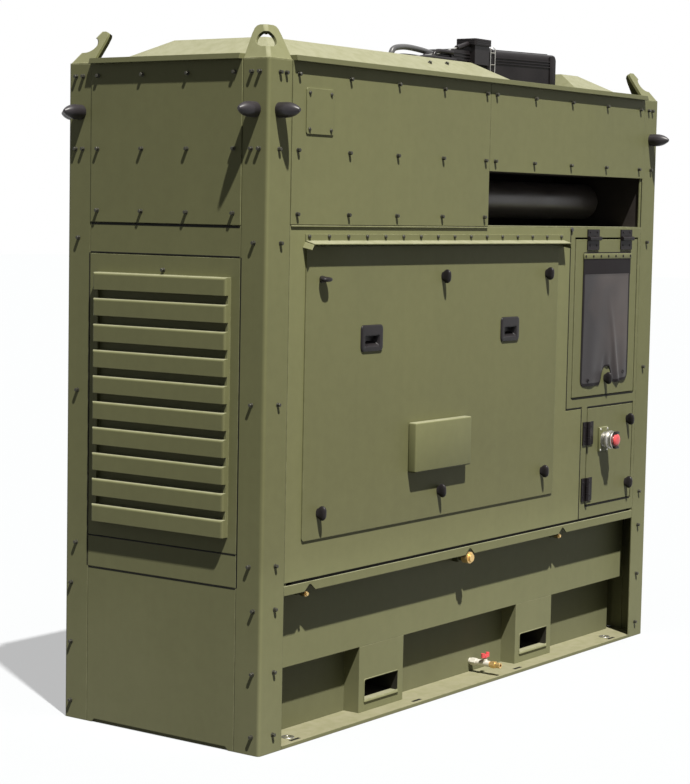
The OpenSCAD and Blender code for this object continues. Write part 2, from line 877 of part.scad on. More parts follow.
module hatch_handle() {
  difference() {
    union() {
      along_y(-hatch_t - 4, -hatch_t) handle_outline(0);
      along_y(-hatch_t, handle_cup) handle_outline(-11.5);
    }
    along_x(-handle_w / 2 + handle_rim, handle_w / 2 - handle_rim) polygon([
      [-hatch_t - 5, -handle_h * 0.32], [handle_cup - 3, -handle_h * 0.1],
      [handle_cup - 3, handle_h * 0.06], [-hatch_t - 5, handle_h * 0.06]
    ]);
  }
}

module hatch_handles() {
  color("black") for (turn = [0, 180]) rotate([0, 0, turn]) from_corner()
    for (x = handle_x) translate([x, 0, handle_z]) hatch_handle();
}

module knob(turn = 0) {
  rotate([90, turn, 0]) {
    cylinder(r = knob_r, h = knob_out * 0.2);
    along_x(-knob_wing / 2, knob_wing / 2) polygon([
      [-knob_r, 0], [knob_r, 0],
      [knob_len / 2, knob_out * 0.35], [knob_len / 2, knob_out * 0.7],
      [knob_r, knob_out], [-knob_r, knob_out],
      [-knob_len / 2, knob_out * 0.7], [-knob_len / 2, knob_out * 0.35]
    ]);
  }
}

module hatch_latches() {
  color("black") for (turn = [0, 180]) rotate([0, 0, turn]) from_corner()
    for (i = [0 : 2], j = [0 : 1])
      translate([knob_x[i], -hatch_t, knob_z[j]]) knob(turn == 0 && i == 0 && j == 1 ? 90 : 0);
}

module hatch_box() {
  color("olive") from_corner() translate([hatch_x + cover_left, -hatch_t, hatch_z + cover_foot])
    rotate([90, 0, 0]) linear_extrude(cover_d) round_rect(cover_w, cover_h, cover_r);
}

module drip_rail() {
  root = hatch_z + hatch_h + drip_fall * 1.5;
  color("olive") from_corner() along_x(hatch_x - drip_t, seam_x - drip_end) polygon([
    [0, root], [-drip_out, root - drip_fall], [-drip_out, root - drip_fall + drip_t],
    [-drip_t, root + drip_t], [-drip_t, root + drip_h], [0, root + drip_h]
  ]);
}

module front_hatch() { hatch(); }
module front_drip_rail() { drip_rail(); }

// Right column with its two doors and the boxes behind them
module control_outline(grow) {
  translate([control_x - grow, control_z - grow]) square([control_w + 2 * grow, control_h + 2 * grow]);
}

module connect_outline(grow) {
  translate([connect_x - grow, connect_z - grow]) square([connect_w + 2 * grow, connect_h + 2 * grow]);
}

module side_column() {
  color("olive") from_corner() along_y(0, panel_sheet) difference() {
    column_outline();
    control_outline(door_gap);
    connect_outline(door_gap);
  }
}

module control_box() {
  color("darkolivegreen") from_corner() difference() {
    along_y(panel_sheet, panel_sheet + box_depth) control_outline(box_grow);
    along_y(panel_sheet - 1, panel_sheet + box_depth - box_wall) control_outline(door_gap + 1);
  }
}

module connection_box() {
  color("darkolivegreen") from_corner() difference() {
    along_y(panel_sheet, panel_sheet + box_depth) connect_outline(box_grow);
    along_y(panel_sheet - 1, panel_sheet + box_depth - box_wall) connect_outline(door_gap + 1);
  }
}

// Moving hinge half along +X: leaf below the axis with the middle knuckle
module hinge_leaf() {
  difference() {
    union() {
      translate([0, -leaf_t - hinge_y, -leaf_root - leaf_h]) cube([hinge_len, leaf_t, leaf_h]);
      translate([hinge_len / 3 + knuckle_gap, -leaf_t - hinge_y, -leaf_root - 1])
        cube([hinge_len / 3 - 2 * knuckle_gap, leaf_t, leaf_root + 1]);
      translate([hinge_len / 3 + knuckle_gap, 0, 0]) rotate([0, 90, 0])
        cylinder(r = knuckle_r, h = hinge_len / 3 - 2 * knuckle_gap);
    }
    translate([-1, 0, 0]) rotate([0, 90, 0]) cylinder(r = pin_r + pin_play, h = hinge_len + 2);
  }
}

// Fixed hinge half along +X: leaf above the axis, outer knuckles and the pin
module hinge_fixed() {
  union() {
    translate([0, -leaf_t - hinge_y, leaf_root]) cube([hinge_len, leaf_t, leaf_h - 8]);
    for (x = [0, hinge_len * 2 / 3]) {
      translate([x, -leaf_t - hinge_y, 0]) cube([hinge_len / 3, leaf_t, leaf_root + 1]);
      translate([x, 0, 0]) rotate([0, 90, 0]) cylinder(r = knuckle_r, h = hinge_len / 3);
    }
    rotate([0, 90, 0]) cylinder(r = pin_r, h = hinge_len);
  }
}

control_hinge_x = [control_x + hinge_left, control_x + control_w - hinge_right - hinge_len];

module control_door() {
  color("olive") from_corner() {
    difference() {
      along_y(0, door_edge) control_outline(0);
      along_y(panel_sheet, door_edge + 1) control_outline(-panel_sheet);
    }
    for (x = control_hinge_x) translate([x, hinge_y, control_axis_z]) hinge_leaf();
  }
}

module control_hinges() {
  color("black") from_corner()
    for (x = control_hinge_x) translate([x, hinge_y, control_axis_z]) hinge_fixed();
}

flap_x = control_x + flap_side;
flap_z = control_z + flap_foot;
flap_w = control_w - 2 * flap_side;
flap_h = control_h - flap_foot - flap_head;
latch_x = control_x + control_w / 2 + latch_off;
latch_z = control_z + latch_up;

module control_flap() {
  color("black") from_corner() along_y(-flap_t, 0) difference() {
    translate([flap_x, flap_z]) round_rect(flap_w, flap_h, 10);
    translate([latch_x, latch_z]) circle(knob_r + 12);
    translate([latch_x - knob_r - 12, flap_z - 1]) square([2 * knob_r + 24, latch_z - flap_z + 1]);
  }
}

module control_latch() {
  color("black") from_corner() translate([latch_x, 0, latch_z]) knob();
}

connect_hinge_z = [connect_z + hinge_low, connect_z + connect_h - hinge_high - hinge_len];

module upright() {
  rotate([0, -90, 0]) children();
}

module connection_door() {
  color("olive") from_corner() {
    difference() {
      along_y(0, door_edge) connect_outline(0);
      along_y(panel_sheet, door_edge + 1) connect_outline(-panel_sheet);
    }
    for (z = connect_hinge_z) translate([connect_axis_x, hinge_y, z]) upright() hinge_leaf();
  }
}

module connection_hinges() {
  color("black") from_corner()
    for (z = connect_hinge_z) translate([connect_axis_x, hinge_y, z]) upright() hinge_fixed();
}

module connection_latches() {
  color("black") from_corner()
    for (z = [connect_z + connect_knob, connect_z + connect_h - connect_knob])
      translate([connect_x + connect_w - connect_knob_side, 0, z]) knob();
}

stop_x = connect_x + stop_left;
stop_z = connect_z + connect_h - stop_head;

module stop_housing() {
  color("silver") from_corner() translate([stop_x, 0, stop_z]) rotate([90, 0, 0]) {
    translate([-stop_r * 1.25, -stop_r * 1.75, 0]) linear_extrude(stop_out * 0.13)
      round_rect(stop_r * 2.5, stop_r * 3.5, stop_r / 3);
    cylinder(r = stop_r * 1.1, h = stop_out * 0.5);
    cylinder(r = stop_r * 1.3, h = stop_out * 0.26);
    translate([0, 0, stop_out * 0.42]) cylinder(r = stop_r * 1.3, h = stop_out * 0.3);
  }
}

module stop_button() {
  color("firebrick") from_corner() translate([stop_x, -stop_out * 0.72, stop_z]) rotate([90, 0, 0]) {
    cylinder(r = stop_r * 0.7, h = stop_out * 0.14);
    translate([0, 0, stop_out * 0.1]) cylinder(r = stop_r, h = stop_out * 0.18);
  }
}

// Back side
module rear_upper_panel() {
  color("olive") half_turn() from_corner()
    span(panel_in, length - panel_in, -panel_lap, panel_sheet, waist_z + panel_gap, post_height);
}

module rear_frame() {
  color("olive") half_turn() from_corner() along_y(0, panel_sheet) difference() {
    translate([panel_in, frame_z]) square([length - 2 * panel_in, waist_z - frame_z]);
    hatch_opening();
  }
}

module rear_hatch() { half_turn() hatch(); }
module rear_drip_rail() { half_turn() drip_rail(); }

// Roof: lid with sloped edges, two raised parts and a recess for the air cleaner
module lid_form() {
  along_y(post_end_face + lid_gap, width - post_end_face - lid_gap) polygon([
    [-lid_over, lid_z], [length + lid_over, lid_z],
    [length + lid_over - lid_slope, lid_top], [lid_slope - lid_over, lid_top]
  ]);
  along_x(post_face + lid_gap, length - post_face - lid_gap) polygon([
    [-lid_over, lid_z], [width + lid_over, lid_z],
    [width + lid_over - lid_slope, lid_top], [lid_slope - lid_over, lid_top]
  ]);
}

module roof_lid() {
  color("olivedrab") from_corner() difference() {
    lid_form();
    translate([0, 0, lid_z - 1]) linear_extrude(lid_h - lid_sheet + 1)
      translate([post_face + lid_gap + 2, post_end_face + lid_gap + 2])
      square([length - 2 * post_face - 2 * lid_gap - 4, width - 2 * post_end_face - 2 * lid_gap - 4]);
  }
}

module roof_form() {
  intersection() {
    along_x(0, length) polygon([
      [roof_in_y, lid_top], [width - roof_in_y, lid_top],
      [width - roof_in_y - roof_run, lid_top + roof_rise],
      [roof_in_y + roof_run, lid_top + roof_rise]
    ]);
    along_y(0, width) polygon([
      [roof_in_x, lid_top], [length - roof_in_x, lid_top],
      [length - roof_in_x - roof_run, lid_top + roof_rise],
      [roof_in_x + roof_run, lid_top + roof_rise]
    ]);
  }
}

module roof_left() {
  color("olivedrab") from_corner() intersection() {
    roof_form();
    along_y(0, width) polygon([
      [0, lid_top], [recess_x + roof_run, lid_top], [recess_x, lid_top + roof_rise], [0, lid_top + roof_rise]
    ]);
  }
}

module roof_right() {
  color("olivedrab") from_corner() intersection() {
    roof_form();
    span(recess_end, length, 0, width, lid_top, lid_top + roof_rise);
  }
}

// Air cleaner in the roof recess, with a tapered neck over the left raised part
roof_flat = lid_top + roof_rise;
near_x = recess_end - cleaner_in;
clamp_x = near_x - cleaner_len * cos(cleaner_turn);
clamp_y = cleaner_front + cleaner_len * sin(cleaner_turn);
neck_x = clamp_x - neck_len;
neck_z = roof_flat + neck_up;
neck_y = clamp_y + band_t;
hose_y = neck_y + hose_in;
intake_x = clamp_x - intake_w - neck_up;
intake_y = clamp_y - intake_in;
intake_z = lid_top + cleaner_h + band_t;

module neck_plan() {
  polygon([
    [neck_x, neck_y], [clamp_x + cleaner_band * 0.8, neck_y],
    [clamp_x + cleaner_band * 0.8, neck_y + cleaner_d * 0.6], [neck_x, neck_y + neck_d]
  ]);
}

module band_section() {
  translate([-band_t, lid_top + cleaner_r / 2]) {
    square([cleaner_d + 2 * band_t, cleaner_h / 2]);
    round_rect(cleaner_d + 2 * band_t, cleaner_h + band_t - cleaner_r / 2, cleaner_r);
  }
}

module air_cleaner() {
  color("black") from_corner() {
    translate([near_x, cleaner_front, 0]) rotate([0, 0, -cleaner_turn]) {
      along_x(neck_up - cleaner_len, 0) translate([0, lid_top]) round_rect(cleaner_d, cleaner_h, cleaner_r);
      along_x(-cleaner_len, cleaner_band - cleaner_len) band_section();
    }
    translate([0, 0, neck_z]) linear_extrude(neck_h) neck_plan();
    translate([intake_x + band_t, intake_y + band_t, neck_z]) linear_extrude(intake_z - neck_z)
      square([intake_w - 2 * band_t, intake_d - 2 * band_t]);
  }
}

module air_intake() {
  color("black") from_corner() translate([intake_x, intake_y, intake_z])
    linear_extrude(intake_h) round_rect(intake_w, intake_d, intake_in / 3);
}

module intake_hose() {
  color("gray") from_corner() {
    translate([neck_x - hose_len, hose_y, roof_flat + hose_bend]) rotate([0, 90, 0])
      cylinder(r = hose_r, h = hose_len);
    translate([neck_x - hose_len, hose_y, roof_flat]) mirror([1, 0, 0]) rotate([90, 0, 0])
      rotate_extrude(angle = 90) translate([hose_bend, 0]) circle(hose_r);
  }
}

// Rubber bumpers on both outer faces of each post
module bumper() {
  nose = bumper_len + bumper_tip - bumper_base;
  nose_r = (bumper_r * bumper_r + nose * nose) / (2 * bumper_r);
  rotate_extrude() intersection() {
    square([bumper_r, bumper_len]);
    union() {
      square([bumper_r, bumper_base]);
      translate([bumper_r - nose_r, bumper_base]) circle(nose_r, $fn = 96);
    }
  }
}

module corner_bumpers() {
  translate([bumper_in, 0, bumper_z]) rotate([90, 0, 0]) bumper();
  translate([0, bumper_in, bumper_z]) rotate([0, -90, 0]) bumper();
}

module bumpers() {
  color("black") {
    from_corner() corner_bumpers();
    mirror([1, 0, 0]) from_corner() corner_bumpers();
    mirror([0, 1, 0]) from_corner() corner_bumpers();
    half_turn() from_corner() corner_bumpers();
  }
}

post_front_left();
post_front_right();
post_rear_left();
post_rear_right();
lifting_lugs();
base_plate();
fuel_tank();
base_beam_front();
base_beam_rear();
fork_pocket_left();
fork_pocket_right();
drain_valve();
drain_spout();
drain_lever();
bleed_nipples();
left_upper_panel();
left_louvre_panel();
left_bands();
left_lower_panel();
right_upper_panel();
right_louvre_panel();
right_bands();
right_lower_panel();
front_upper_left_panel();
front_upper_right_panel();
access_plate();
hatch_frame();
front_hatch();
hatch_box();
front_drip_rail();
hatch_latches();
hatch_handles();
side_column();
control_box();
control_door();
control_hinges();
control_flap();
control_latch();
connection_box();
connection_door();
connection_hinges();
connection_latches();
stop_housing();
stop_button();
air_floor();
air_duct();
air_ceiling();
silencer();
rear_upper_panel();
rear_frame();
rear_hatch();
rear_drip_rail();
roof_lid();
roof_left();
roof_right();
air_cleaner();
air_intake();
intake_hose();
bumpers();
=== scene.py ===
import json
import math

import bmesh
import bpy
import numpy as np
from mathutils import Matrix, Vector


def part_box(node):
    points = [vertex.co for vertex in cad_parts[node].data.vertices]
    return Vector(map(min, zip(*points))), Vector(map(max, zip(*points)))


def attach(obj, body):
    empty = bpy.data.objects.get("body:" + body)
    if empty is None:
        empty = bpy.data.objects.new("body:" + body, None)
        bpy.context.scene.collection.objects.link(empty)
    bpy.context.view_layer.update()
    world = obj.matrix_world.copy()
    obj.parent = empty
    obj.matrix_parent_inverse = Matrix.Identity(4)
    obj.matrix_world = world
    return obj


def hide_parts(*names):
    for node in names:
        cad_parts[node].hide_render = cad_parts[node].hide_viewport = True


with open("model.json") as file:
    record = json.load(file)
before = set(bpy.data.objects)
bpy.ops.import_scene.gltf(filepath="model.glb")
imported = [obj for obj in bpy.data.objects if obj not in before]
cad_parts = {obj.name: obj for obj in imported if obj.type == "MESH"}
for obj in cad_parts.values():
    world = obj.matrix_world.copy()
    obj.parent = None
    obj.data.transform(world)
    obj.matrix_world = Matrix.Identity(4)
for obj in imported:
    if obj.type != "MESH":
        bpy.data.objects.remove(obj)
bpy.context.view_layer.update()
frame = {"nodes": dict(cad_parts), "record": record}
NODES = frame["nodes"]

# Shapes are drawn in corner millimetres: from the front left corner of the footprint
MM = 0.001
LENGTH, WIDTH = 2200.0, 720.0
CORNER = Vector((LENGTH / 2, WIDTH / 2, 0))


def box_mm(node):
    """A node's box in corner millimetres."""
    lo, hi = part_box(node)
    return lo / MM + CORNER, hi / MM + CORNER


def middle(lo, hi):
    """Middle of a box as the front shows it: along and up."""
    return (lo.x + hi.x) / 2, (lo.z + hi.z) / 2


# Camera at the photograph's place, and the sun's direction in the photograph
YAW, PITCH, ROLL = (math.radians(a) for a in (35.817, 4.998, -1.0975))
CAMERA_AT = (-5.4629, -3.7741, 1.4816)
LENS, SENSOR = 95.68, 36
SUN_WAY = Vector((0.225, 0.394, -0.890))
SUN_ENERGY, SUN_ANGLE, SUN_COLOUR = 7.6, math.radians(1.2), (1.0, 0.97, 0.91)

scene = bpy.context.scene
scene.view_settings.view_transform = "Standard"
fwd = Vector((math.cos(PITCH) * math.cos(YAW), math.cos(PITCH) * math.sin(YAW), -math.sin(PITCH)))
right = fwd.cross(Vector((0, 0, 1))).normalized()
down = fwd.cross(right)
cam_x = math.cos(ROLL) * right + math.sin(ROLL) * down
cam_y = math.sin(ROLL) * right - math.cos(ROLL) * down
cam_data = bpy.data.cameras.new("camera")
cam_data.lens = LENS
cam_data.sensor_width = SENSOR
cam = bpy.data.objects.new("camera", cam_data)
turn = Matrix((cam_x, cam_y, -fwd)).transposed().to_4x4()
cam.matrix_world = Matrix.Translation(CAMERA_AT) @ turn
scene.collection.objects.link(cam)
scene.camera = cam

sun_data = bpy.data.lights.new("sun", "SUN")
sun_data.energy = SUN_ENERGY
sun_data.angle = SUN_ANGLE
sun_data.color = SUN_COLOUR
sun = bpy.data.objects.new("sun", sun_data)
sun.rotation_euler = SUN_WAY.to_track_quat("-Z", "Y").to_euler()
scene.collection.objects.link(sun)


class Tree:
    """A material's or world's node tree. An input takes a value or another node's output."""

    def __init__(self, owner):
        owner.use_nodes = True
        self.t = owner.node_tree
        self.t.nodes.clear()

    def put(self, node, key, value):
        if hasattr(value, "is_output"):
            self.t.links.new(value, node.inputs[key])
        else:
            node.inputs[key].default_value = value

    def node(self, kind, ins=None, **props):
        n = self.t.nodes.new(kind)
        for key, value in props.items():
            setattr(n, key, value)
        for key, value in (ins or {}).items():
            self.put(n, key, value)
        return n

    def math(self, op, a, b=0.5):
        return self.node("ShaderNodeMath", {0: a, 1: b}, operation=op).outputs[0]

    def times(self, first, *others):
        """Product of outputs and numbers."""
        for other in others:
            first = self.math("MULTIPLY", first, other)
        return first

    def mix(self, fac, a, b, blend="MIX"):
        n = self.node("ShaderNodeMix", {0: fac}, data_type="RGBA", blend_type=blend)
        for key, colour in ((6, a), (7, b)):
            self.put(n, key, colour if hasattr(colour, "is_output") else (*colour, 1))
        return n.outputs[2]

    def tint(self, fac, colour, by):
        return self.mix(fac, colour, by, "MULTIPLY")

    def noise(self, scale, detail=4, rough=0.55, stretch=None):
        pos = self.node("ShaderNodeTexCoord").outputs["Object"]
        if stretch:
            pos = self.node("ShaderNodeMapping", {"Vector": pos, "Scale": stretch}).outputs[0]
        ins = {"Vector": pos, "Scale": scale, "Detail": detail, "Roughness": rough}
        return self.node("ShaderNodeTexNoise", ins).outputs["Fac"]

    def span(self, v, lo, hi, to_lo=0.0, to_hi=1.0):
        ins = {0: v, 1: lo, 2: hi, 3: to_lo, 4: to_hi}
        return self.node("ShaderNodeMapRange", ins).outputs[0]

    def bump(self, height, strength, distance, normal=None):
        ins = {"Height": height, "Strength": strength, "Distance": distance}
        if normal is not None:
            ins["Normal"] = normal
        return self.node("ShaderNodeBump", ins).outputs[0]

    def backdrop_rays(self):
        """1 for rays from the camera, through glass or off a glossy face, 0 for rays that light."""
        path = self.node("ShaderNodeLightPath").outputs
        seen = self.math("MAXIMUM", path["Is Camera Ray"], path["Is Transmission Ray"])
        return self.math("MAXIMUM", seen, path["Is Glossy Ray"])


def surface(name, build, specular=0.5, **sockets):
    """A Principled material; build(tree) returns its colour, roughness and normal outputs."""
    mat = bpy.data.materials.new(name)
    t = Tree(mat)
    shader = t.node("ShaderNodeBsdfPrincipled", {"Specular IOR Level": specular, **sockets})
    for socket, value in zip(("Base Color", "Roughness", "Normal"), build(t)):
        t.put(shader, socket, value)
    t.node("ShaderNodeOutputMaterial", {"Surface": shader.outputs[0]})
    return mat


def scaled(colour, factor):
    return tuple(c * factor for c in colour)


# Paint: tints fitted to the photograph, three of them painted shade, and the most dust low down, which also
# stands for painted light thrown up from the ground
LOW_TINT = (0.85, 0.84, 0.83)
PAINTED_RIGHT_SHADE = (0.92, 0.93, 0.93)
PAINTED_UNDER_SHADE = (0.30, 0.31, 0.25)
PAINTED_END_SHADE = (0.83, 0.83, 0.83)
SOIL_AND_BOUNCE = 0.14


def paint_nodes(base, dust, edge):
    """Matt vehicle paint: cloudy tone, faint runs, painted shade, dust low down that is partly painted light
    from the ground, dust on flats, worn edges.
    """
    def build(t):
        cloud = t.noise(1.7, 5)
        grain = t.noise(34, 3)
        runs = t.noise(1.0, 4, 0.6, (26, 26, 0.9))
        speck = t.noise(420, 2)
        geo = t.node("ShaderNodeNewGeometry").outputs
        facing = t.node("ShaderNodeSeparateXYZ", {0: geo["Normal"]}).outputs
        place = t.node("ShaderNodeSeparateXYZ", {0: geo["Position"]}).outputs

        tone = t.math("ADD", t.span(cloud, 0.3, 0.7, -0.04, 0.04),
                      t.span(grain, 0.3, 0.7, -0.022, 0.022))
        tone = t.math("ADD", tone, t.span(runs, 0.35, 0.7, -0.012, 0.012))
        col = t.mix(t.span(tone, -0.12, 0.12), scaled(base, 0.84), scaled(base, 1.16))

        # Darker on the front low down; painted shade on the front to the right, on undersides and on the
        # ends
        front = t.span(facing[1], -0.2, -0.42)
        low = t.times(front, t.span(place[2], 1.5, 0.75), t.span(place[2], 0.44, 0.54),
                      t.span(place[1], -0.39, -0.372))
        col = t.tint(low, col, LOW_TINT)
        col = t.tint(t.times(front, t.span(place[0], 0.1, 1.0)), col, PAINTED_RIGHT_SHADE)
        col = t.tint(t.span(facing[2], -0.25, -0.5), col, PAINTED_UNDER_SHADE)
        col = t.tint(t.span(t.math("ABSOLUTE", facing[0]), 0.6, 0.95), col, PAINTED_END_SHADE)

        # Dust near the ground, partly painted light thrown up from the ground, and dust on flats; then the
        # worn edges
        soil_and_bounce = t.times(t.span(place[2], 0.75, 0.0), t.span(cloud, 0.3, 0.65, 0.35, 1.0), SOIL_AND_BOUNCE)
        flat = t.times(t.span(facing[2], 0.45, 0.95), t.span(grain, 0.3, 0.62, 0.28, 0.48))
        col = t.mix(t.math("MAXIMUM", soil_and_bounce, flat), col, dust)
        round_n = t.node("ShaderNodeBevel", {"Radius": 0.0022}, samples=4).outputs[0]
        dot = t.node("ShaderNodeVectorMath", {0: round_n, 1: geo["Normal"]}, operation="DOT_PRODUCT")
        worn = t.times(t.span(dot.outputs["Value"], 0.995, 0.86),
                       t.span(grain, 0.42, 0.6, 0.15, 0.8))
        col = t.mix(worn, col, edge)

        rough = t.math("ADD", t.span(cloud, 0.3, 0.7, 0.5, 0.6), t.span(speck, 0.3, 0.7, -0.05, 0.05))
        skin = t.math("ADD", t.times(speck, 0.6), t.noise(150, 2))
        return col, rough, t.bump(skin, 0.10, 0.0006, round_n)
    return build


def plain_nodes(base, rough, grain, depth, spread=0.25):
    """Moulded or cast stuff: mottled colour, uneven gloss and a fine grain."""
    def build(t):
        cloud = t.noise(9, 4)
        fine = t.noise(grain, 3)
        col = t.mix(t.span(cloud, 0.3, 0.7), scaled(base, 1 - spread), scaled(base, 1 + spread))
        uneven = t.math("ADD", t.span(cloud, 0.3, 0.7, rough - 0.07, rough + 0.07),
                        t.span(fine, 0.3, 0.7, -0.05, 0.05))
        round_n = t.node("ShaderNodeBevel", {"Radius": 0.0008}, samples=3).outputs[0]
        return col, uneven, t.bump(fine, 0.25, depth, round_n)
    return build


def vinyl_nodes(t):
    """Coated cloth: fine leather grain over a soft weave, with painted shade low down where the sheet curls
    under, and darker to the left.
    """
    cloud = t.noise(7, 5)
    tone = t.math("ADD", t.times(cloud, 0.35), t.times(t.noise(3.1, 2), 0.65))
    pos = t.node("ShaderNodeTexCoord").outputs["Object"]
    spot = t.node("ShaderNodeSeparateXYZ", {0: pos}).outputs
    # painted shade: darker towards the bottom, where the sheet curls under
    tone = t.math("ADD", tone, t.span(spot[2], 0.95, 1.20, -0.08, 0.03))
    tone = t.math("ADD", tone, t.span(spot[0], 0.62, 0.72, -0.14, 0.0))
    cells = t.node("ShaderNodeTexVoronoi", {"Vector": pos, "Scale": 620}).outputs["Distance"]
    weave = t.node("ShaderNodeTexWave", {"Vector": pos, "Scale": 260, "Distortion": 1.5},
                   bands_direction="Z").outputs["Fac"]
    col = t.mix(t.span(tone, 0.38, 0.60), (0.022, 0.019, 0.021), (0.062, 0.051, 0.049))
    skin = t.math("ADD", cells, t.times(weave, 0.35))
    return col, t.span(cloud, 0.3, 0.7, 0.42, 0.56), t.bump(skin, 0.22, 0.0004)


def red_nodes(t):
    """Faded red plastic."""
    cloud = t.noise(60, 4)
    col = t.mix(t.span(cloud, 0.3, 0.7), (0.56, 0.06, 0.07), (0.72, 0.10, 0.10))
    return col, t.span(cloud, 0.3, 0.7, 0.3, 0.42), t.bump(t.noise(900, 2), 0.12, 0.0003)


OLIVE = (0.168, 0.171, 0.082)
EDGE = (0.31, 0.31, 0.19)
DUST = (0.34, 0.335, 0.26)
PLATE_DUST = (0.285, 0.262, 0.20)
SHEEN = {"Sheen Weight": 0.03, "Sheen Roughness": 0.5}
M = {
    "olive": surface("olive_paint", paint_nodes(OLIVE, DUST, EDGE), 0.16),
    "plastic": surface("black_plastic", plain_nodes((0.015, 0.013, 0.014), 0.33, 700, 0.0003), 0.17),
    "hinge": surface("black_hinge", plain_nodes((0.012, 0.010, 0.011), 0.40, 520, 0.0005), 0.1),
    "rubber": surface("black_rubber", plain_nodes((0.024, 0.021, 0.024), 0.36, 800, 0.0002), 0.35),
    "vinyl": surface("black_vinyl", vinyl_nodes, 0.25, **SHEEN),
    # darker band under the flap's strip, and painted shade on the flap's curled edges
    "hem_and_edge_shade": surface("black_hem_and_edge_shade", plain_nodes((0.011, 0.009, 0.010), 0.6, 420, 0.0005), 0.1),
    # dark strips: seam gaskets, and painted shadow along door and panel edges
    "gasket_and_shadow": surface("seam_gasket_and_painted_shadow", plain_nodes((0.010, 0.010, 0.009), 0.7, 400, 0.0003), 0.1),
    "duct": surface("black_paint", plain_nodes((0.034, 0.029, 0.027), 0.7, 300, 0.0004), 0.1),
    "hose": surface("grey_hose", plain_nodes((0.075, 0.075, 0.078), 0.38, 500, 0.0004), 0.4),
    "steel": surface("steel", plain_nodes((0.46, 0.45, 0.42), 0.36, 260, 0.0003, 0.2), Metallic=0.95),
    "bolt": surface("bolt_steel", plain_nodes((0.044, 0.043, 0.033), 0.40, 500, 0.0003), 0.25,
                    Metallic=0.2),
    "red": surface("red_plastic", red_nodes),
    "brass": surface("brass", plain_nodes((0.66, 0.46, 0.19), 0.38, 300, 0.0003, 0.18), Metallic=0.75),
}
SLOT_MAT = {
    "olive_paint": "olive", "black_plastic": "plastic", "black_hinge": "hinge",
    "black_rubber": "rubber", "black_vinyl": "vinyl", "black_paint": "duct",
    "steel": "steel", "red_plastic": "red", "brass": "brass",
}

# CAD nodes: the finish of each slot, then the nodes with a finish of their own
for part in frame["record"]["subparts"]:
    node = NODES[part["node"]]
    node.data.materials.clear()
    node.data.materials.append(M[SLOT_MAT[part["material_slot"]]])

OWN_FINISH = {
    "silencer": surface("silencer_skin", plain_nodes((0.040, 0.034, 0.032), 0.38, 260, 0.0004), 0.55),
    # painted shade: a darker olive on the tank, which stands back in shade under the beam
    "fuel_tank": surface("tank_olive_painted_shade", paint_nodes(scaled(OLIVE, 0.74), DUST, EDGE), 0.12),
    "hatch_frame": surface("frame_paint", paint_nodes(scaled(OLIVE, 1.18), DUST, EDGE), 0.16),
    "drain_valve": surface("valve_zinc", plain_nodes((0.60, 0.575, 0.51), 0.46, 260, 0.0003, 0.15),
                           Metallic=0.35),
    "base_plate": surface("plate_paint", paint_nodes(OLIVE, PLATE_DUST, EDGE), 0.12),
}
for name, mat in OWN_FINISH.items():
    NODES[name].data.materials[0] = mat


def second_finish(name, mat, chosen):
    """Gives mat to a node's polygons where chosen(middle in corner millimetres, normal) holds."""
    node = NODES[name]
    node.data.materials.append(mat)
    for poly in node.data.polygons:
        spot = (node.matrix_world @ poly.center) / MM + CORNER
        poly.material_index = int(chosen(spot, poly.normal))


# Fork openings: painted at the mouth, and painted shade inside, where the tunnels lie in shadow
POCKETS = ("fork_pocket_left", "fork_pocket_right")
POCKET_W, POCKET_H, POCKET_Z = 172.0, 60.0, 44.0
POCKET_PAINTED = 62.0
WALL_SLACK = 0.5
pocket_mids = [middle(*box_mm(name))[0] for name in POCKETS]


def in_pocket(mid):
    def chosen(spot, normal):
        return (abs(spot.x - mid) < POCKET_W / 2 + WALL_SLACK
                and -WALL_SLACK < spot.z - POCKET_Z < POCKET_H + WALL_SLACK
                and POCKET_PAINTED < spot.y < WIDTH - POCKET_PAINTED)
    return chosen


# painted shade inside the tunnels
pocket_shade = surface("pocket_painted_shade", plain_nodes((0.030, 0.028, 0.022), 0.7, 260, 0.0004), 0.1)
for name, mid in zip(POCKETS, pocket_mids):
    second_finish(name, pocket_shade, in_pocket(mid))

# Darker edge of the roof lid, black hinge leaves on the doors, painted seats of the nipples
LEAF_PROUD, NIPPLE_SEAT_Y = 0.3, 22
lid_edge = surface("olive_lid_edge", paint_nodes(scaled(OLIVE, 0.58), DUST, scaled(EDGE, 0.6)), 0.16)
second_finish("roof_lid", lid_edge, lambda spot, normal: 0.1 < normal.z < 0.9)
for name in ("control_door", "connection_door"):
    second_finish(name, M["hinge"], lambda spot, normal: spot.y < -LEAF_PROUD)
second_finish("bleed_nipples", M["olive"], lambda spot, normal: spot.y > NIPPLE_SEAT_Y)


# Mesh helpers: a shape is (points, faces) in millimetres, with +Z out of the face it sits on
def lathe(profile, n=20, capped=True):
    """Turned shape through (radius, height) pairs; a radius of 0 closes it."""
    pts, faces, rings = [], [], []
    for r, z in profile:
        if r < 1e-6:
            rings.append([len(pts)])
            pts.append((0, 0, z))
            continue
        rings.append(list(range(len(pts), len(pts) + n)))
        for i in range(n):
            a = 2 * math.pi * i / n
            pts.append((r * math.cos(a), r * math.sin(a), z))
    for a, b in zip(rings, rings[1:]):
        for i in range(n):
            j = (i + 1) % n
            if len(b) == 1:
                faces.append((a[i], a[j], b[0]))
            elif len(a) == 1:
                faces.append((a[0], b[j], b[i]))
            else:
                faces.append((a[i], a[j], b[j], b[i]))
    if capped and len(rings[0]) > 1:
        faces.append(tuple(reversed(rings[0])))
    if capped and len(rings[-1]) > 1:
        faces.append(tuple(rings[-1]))
    return np.array(pts, float), faces


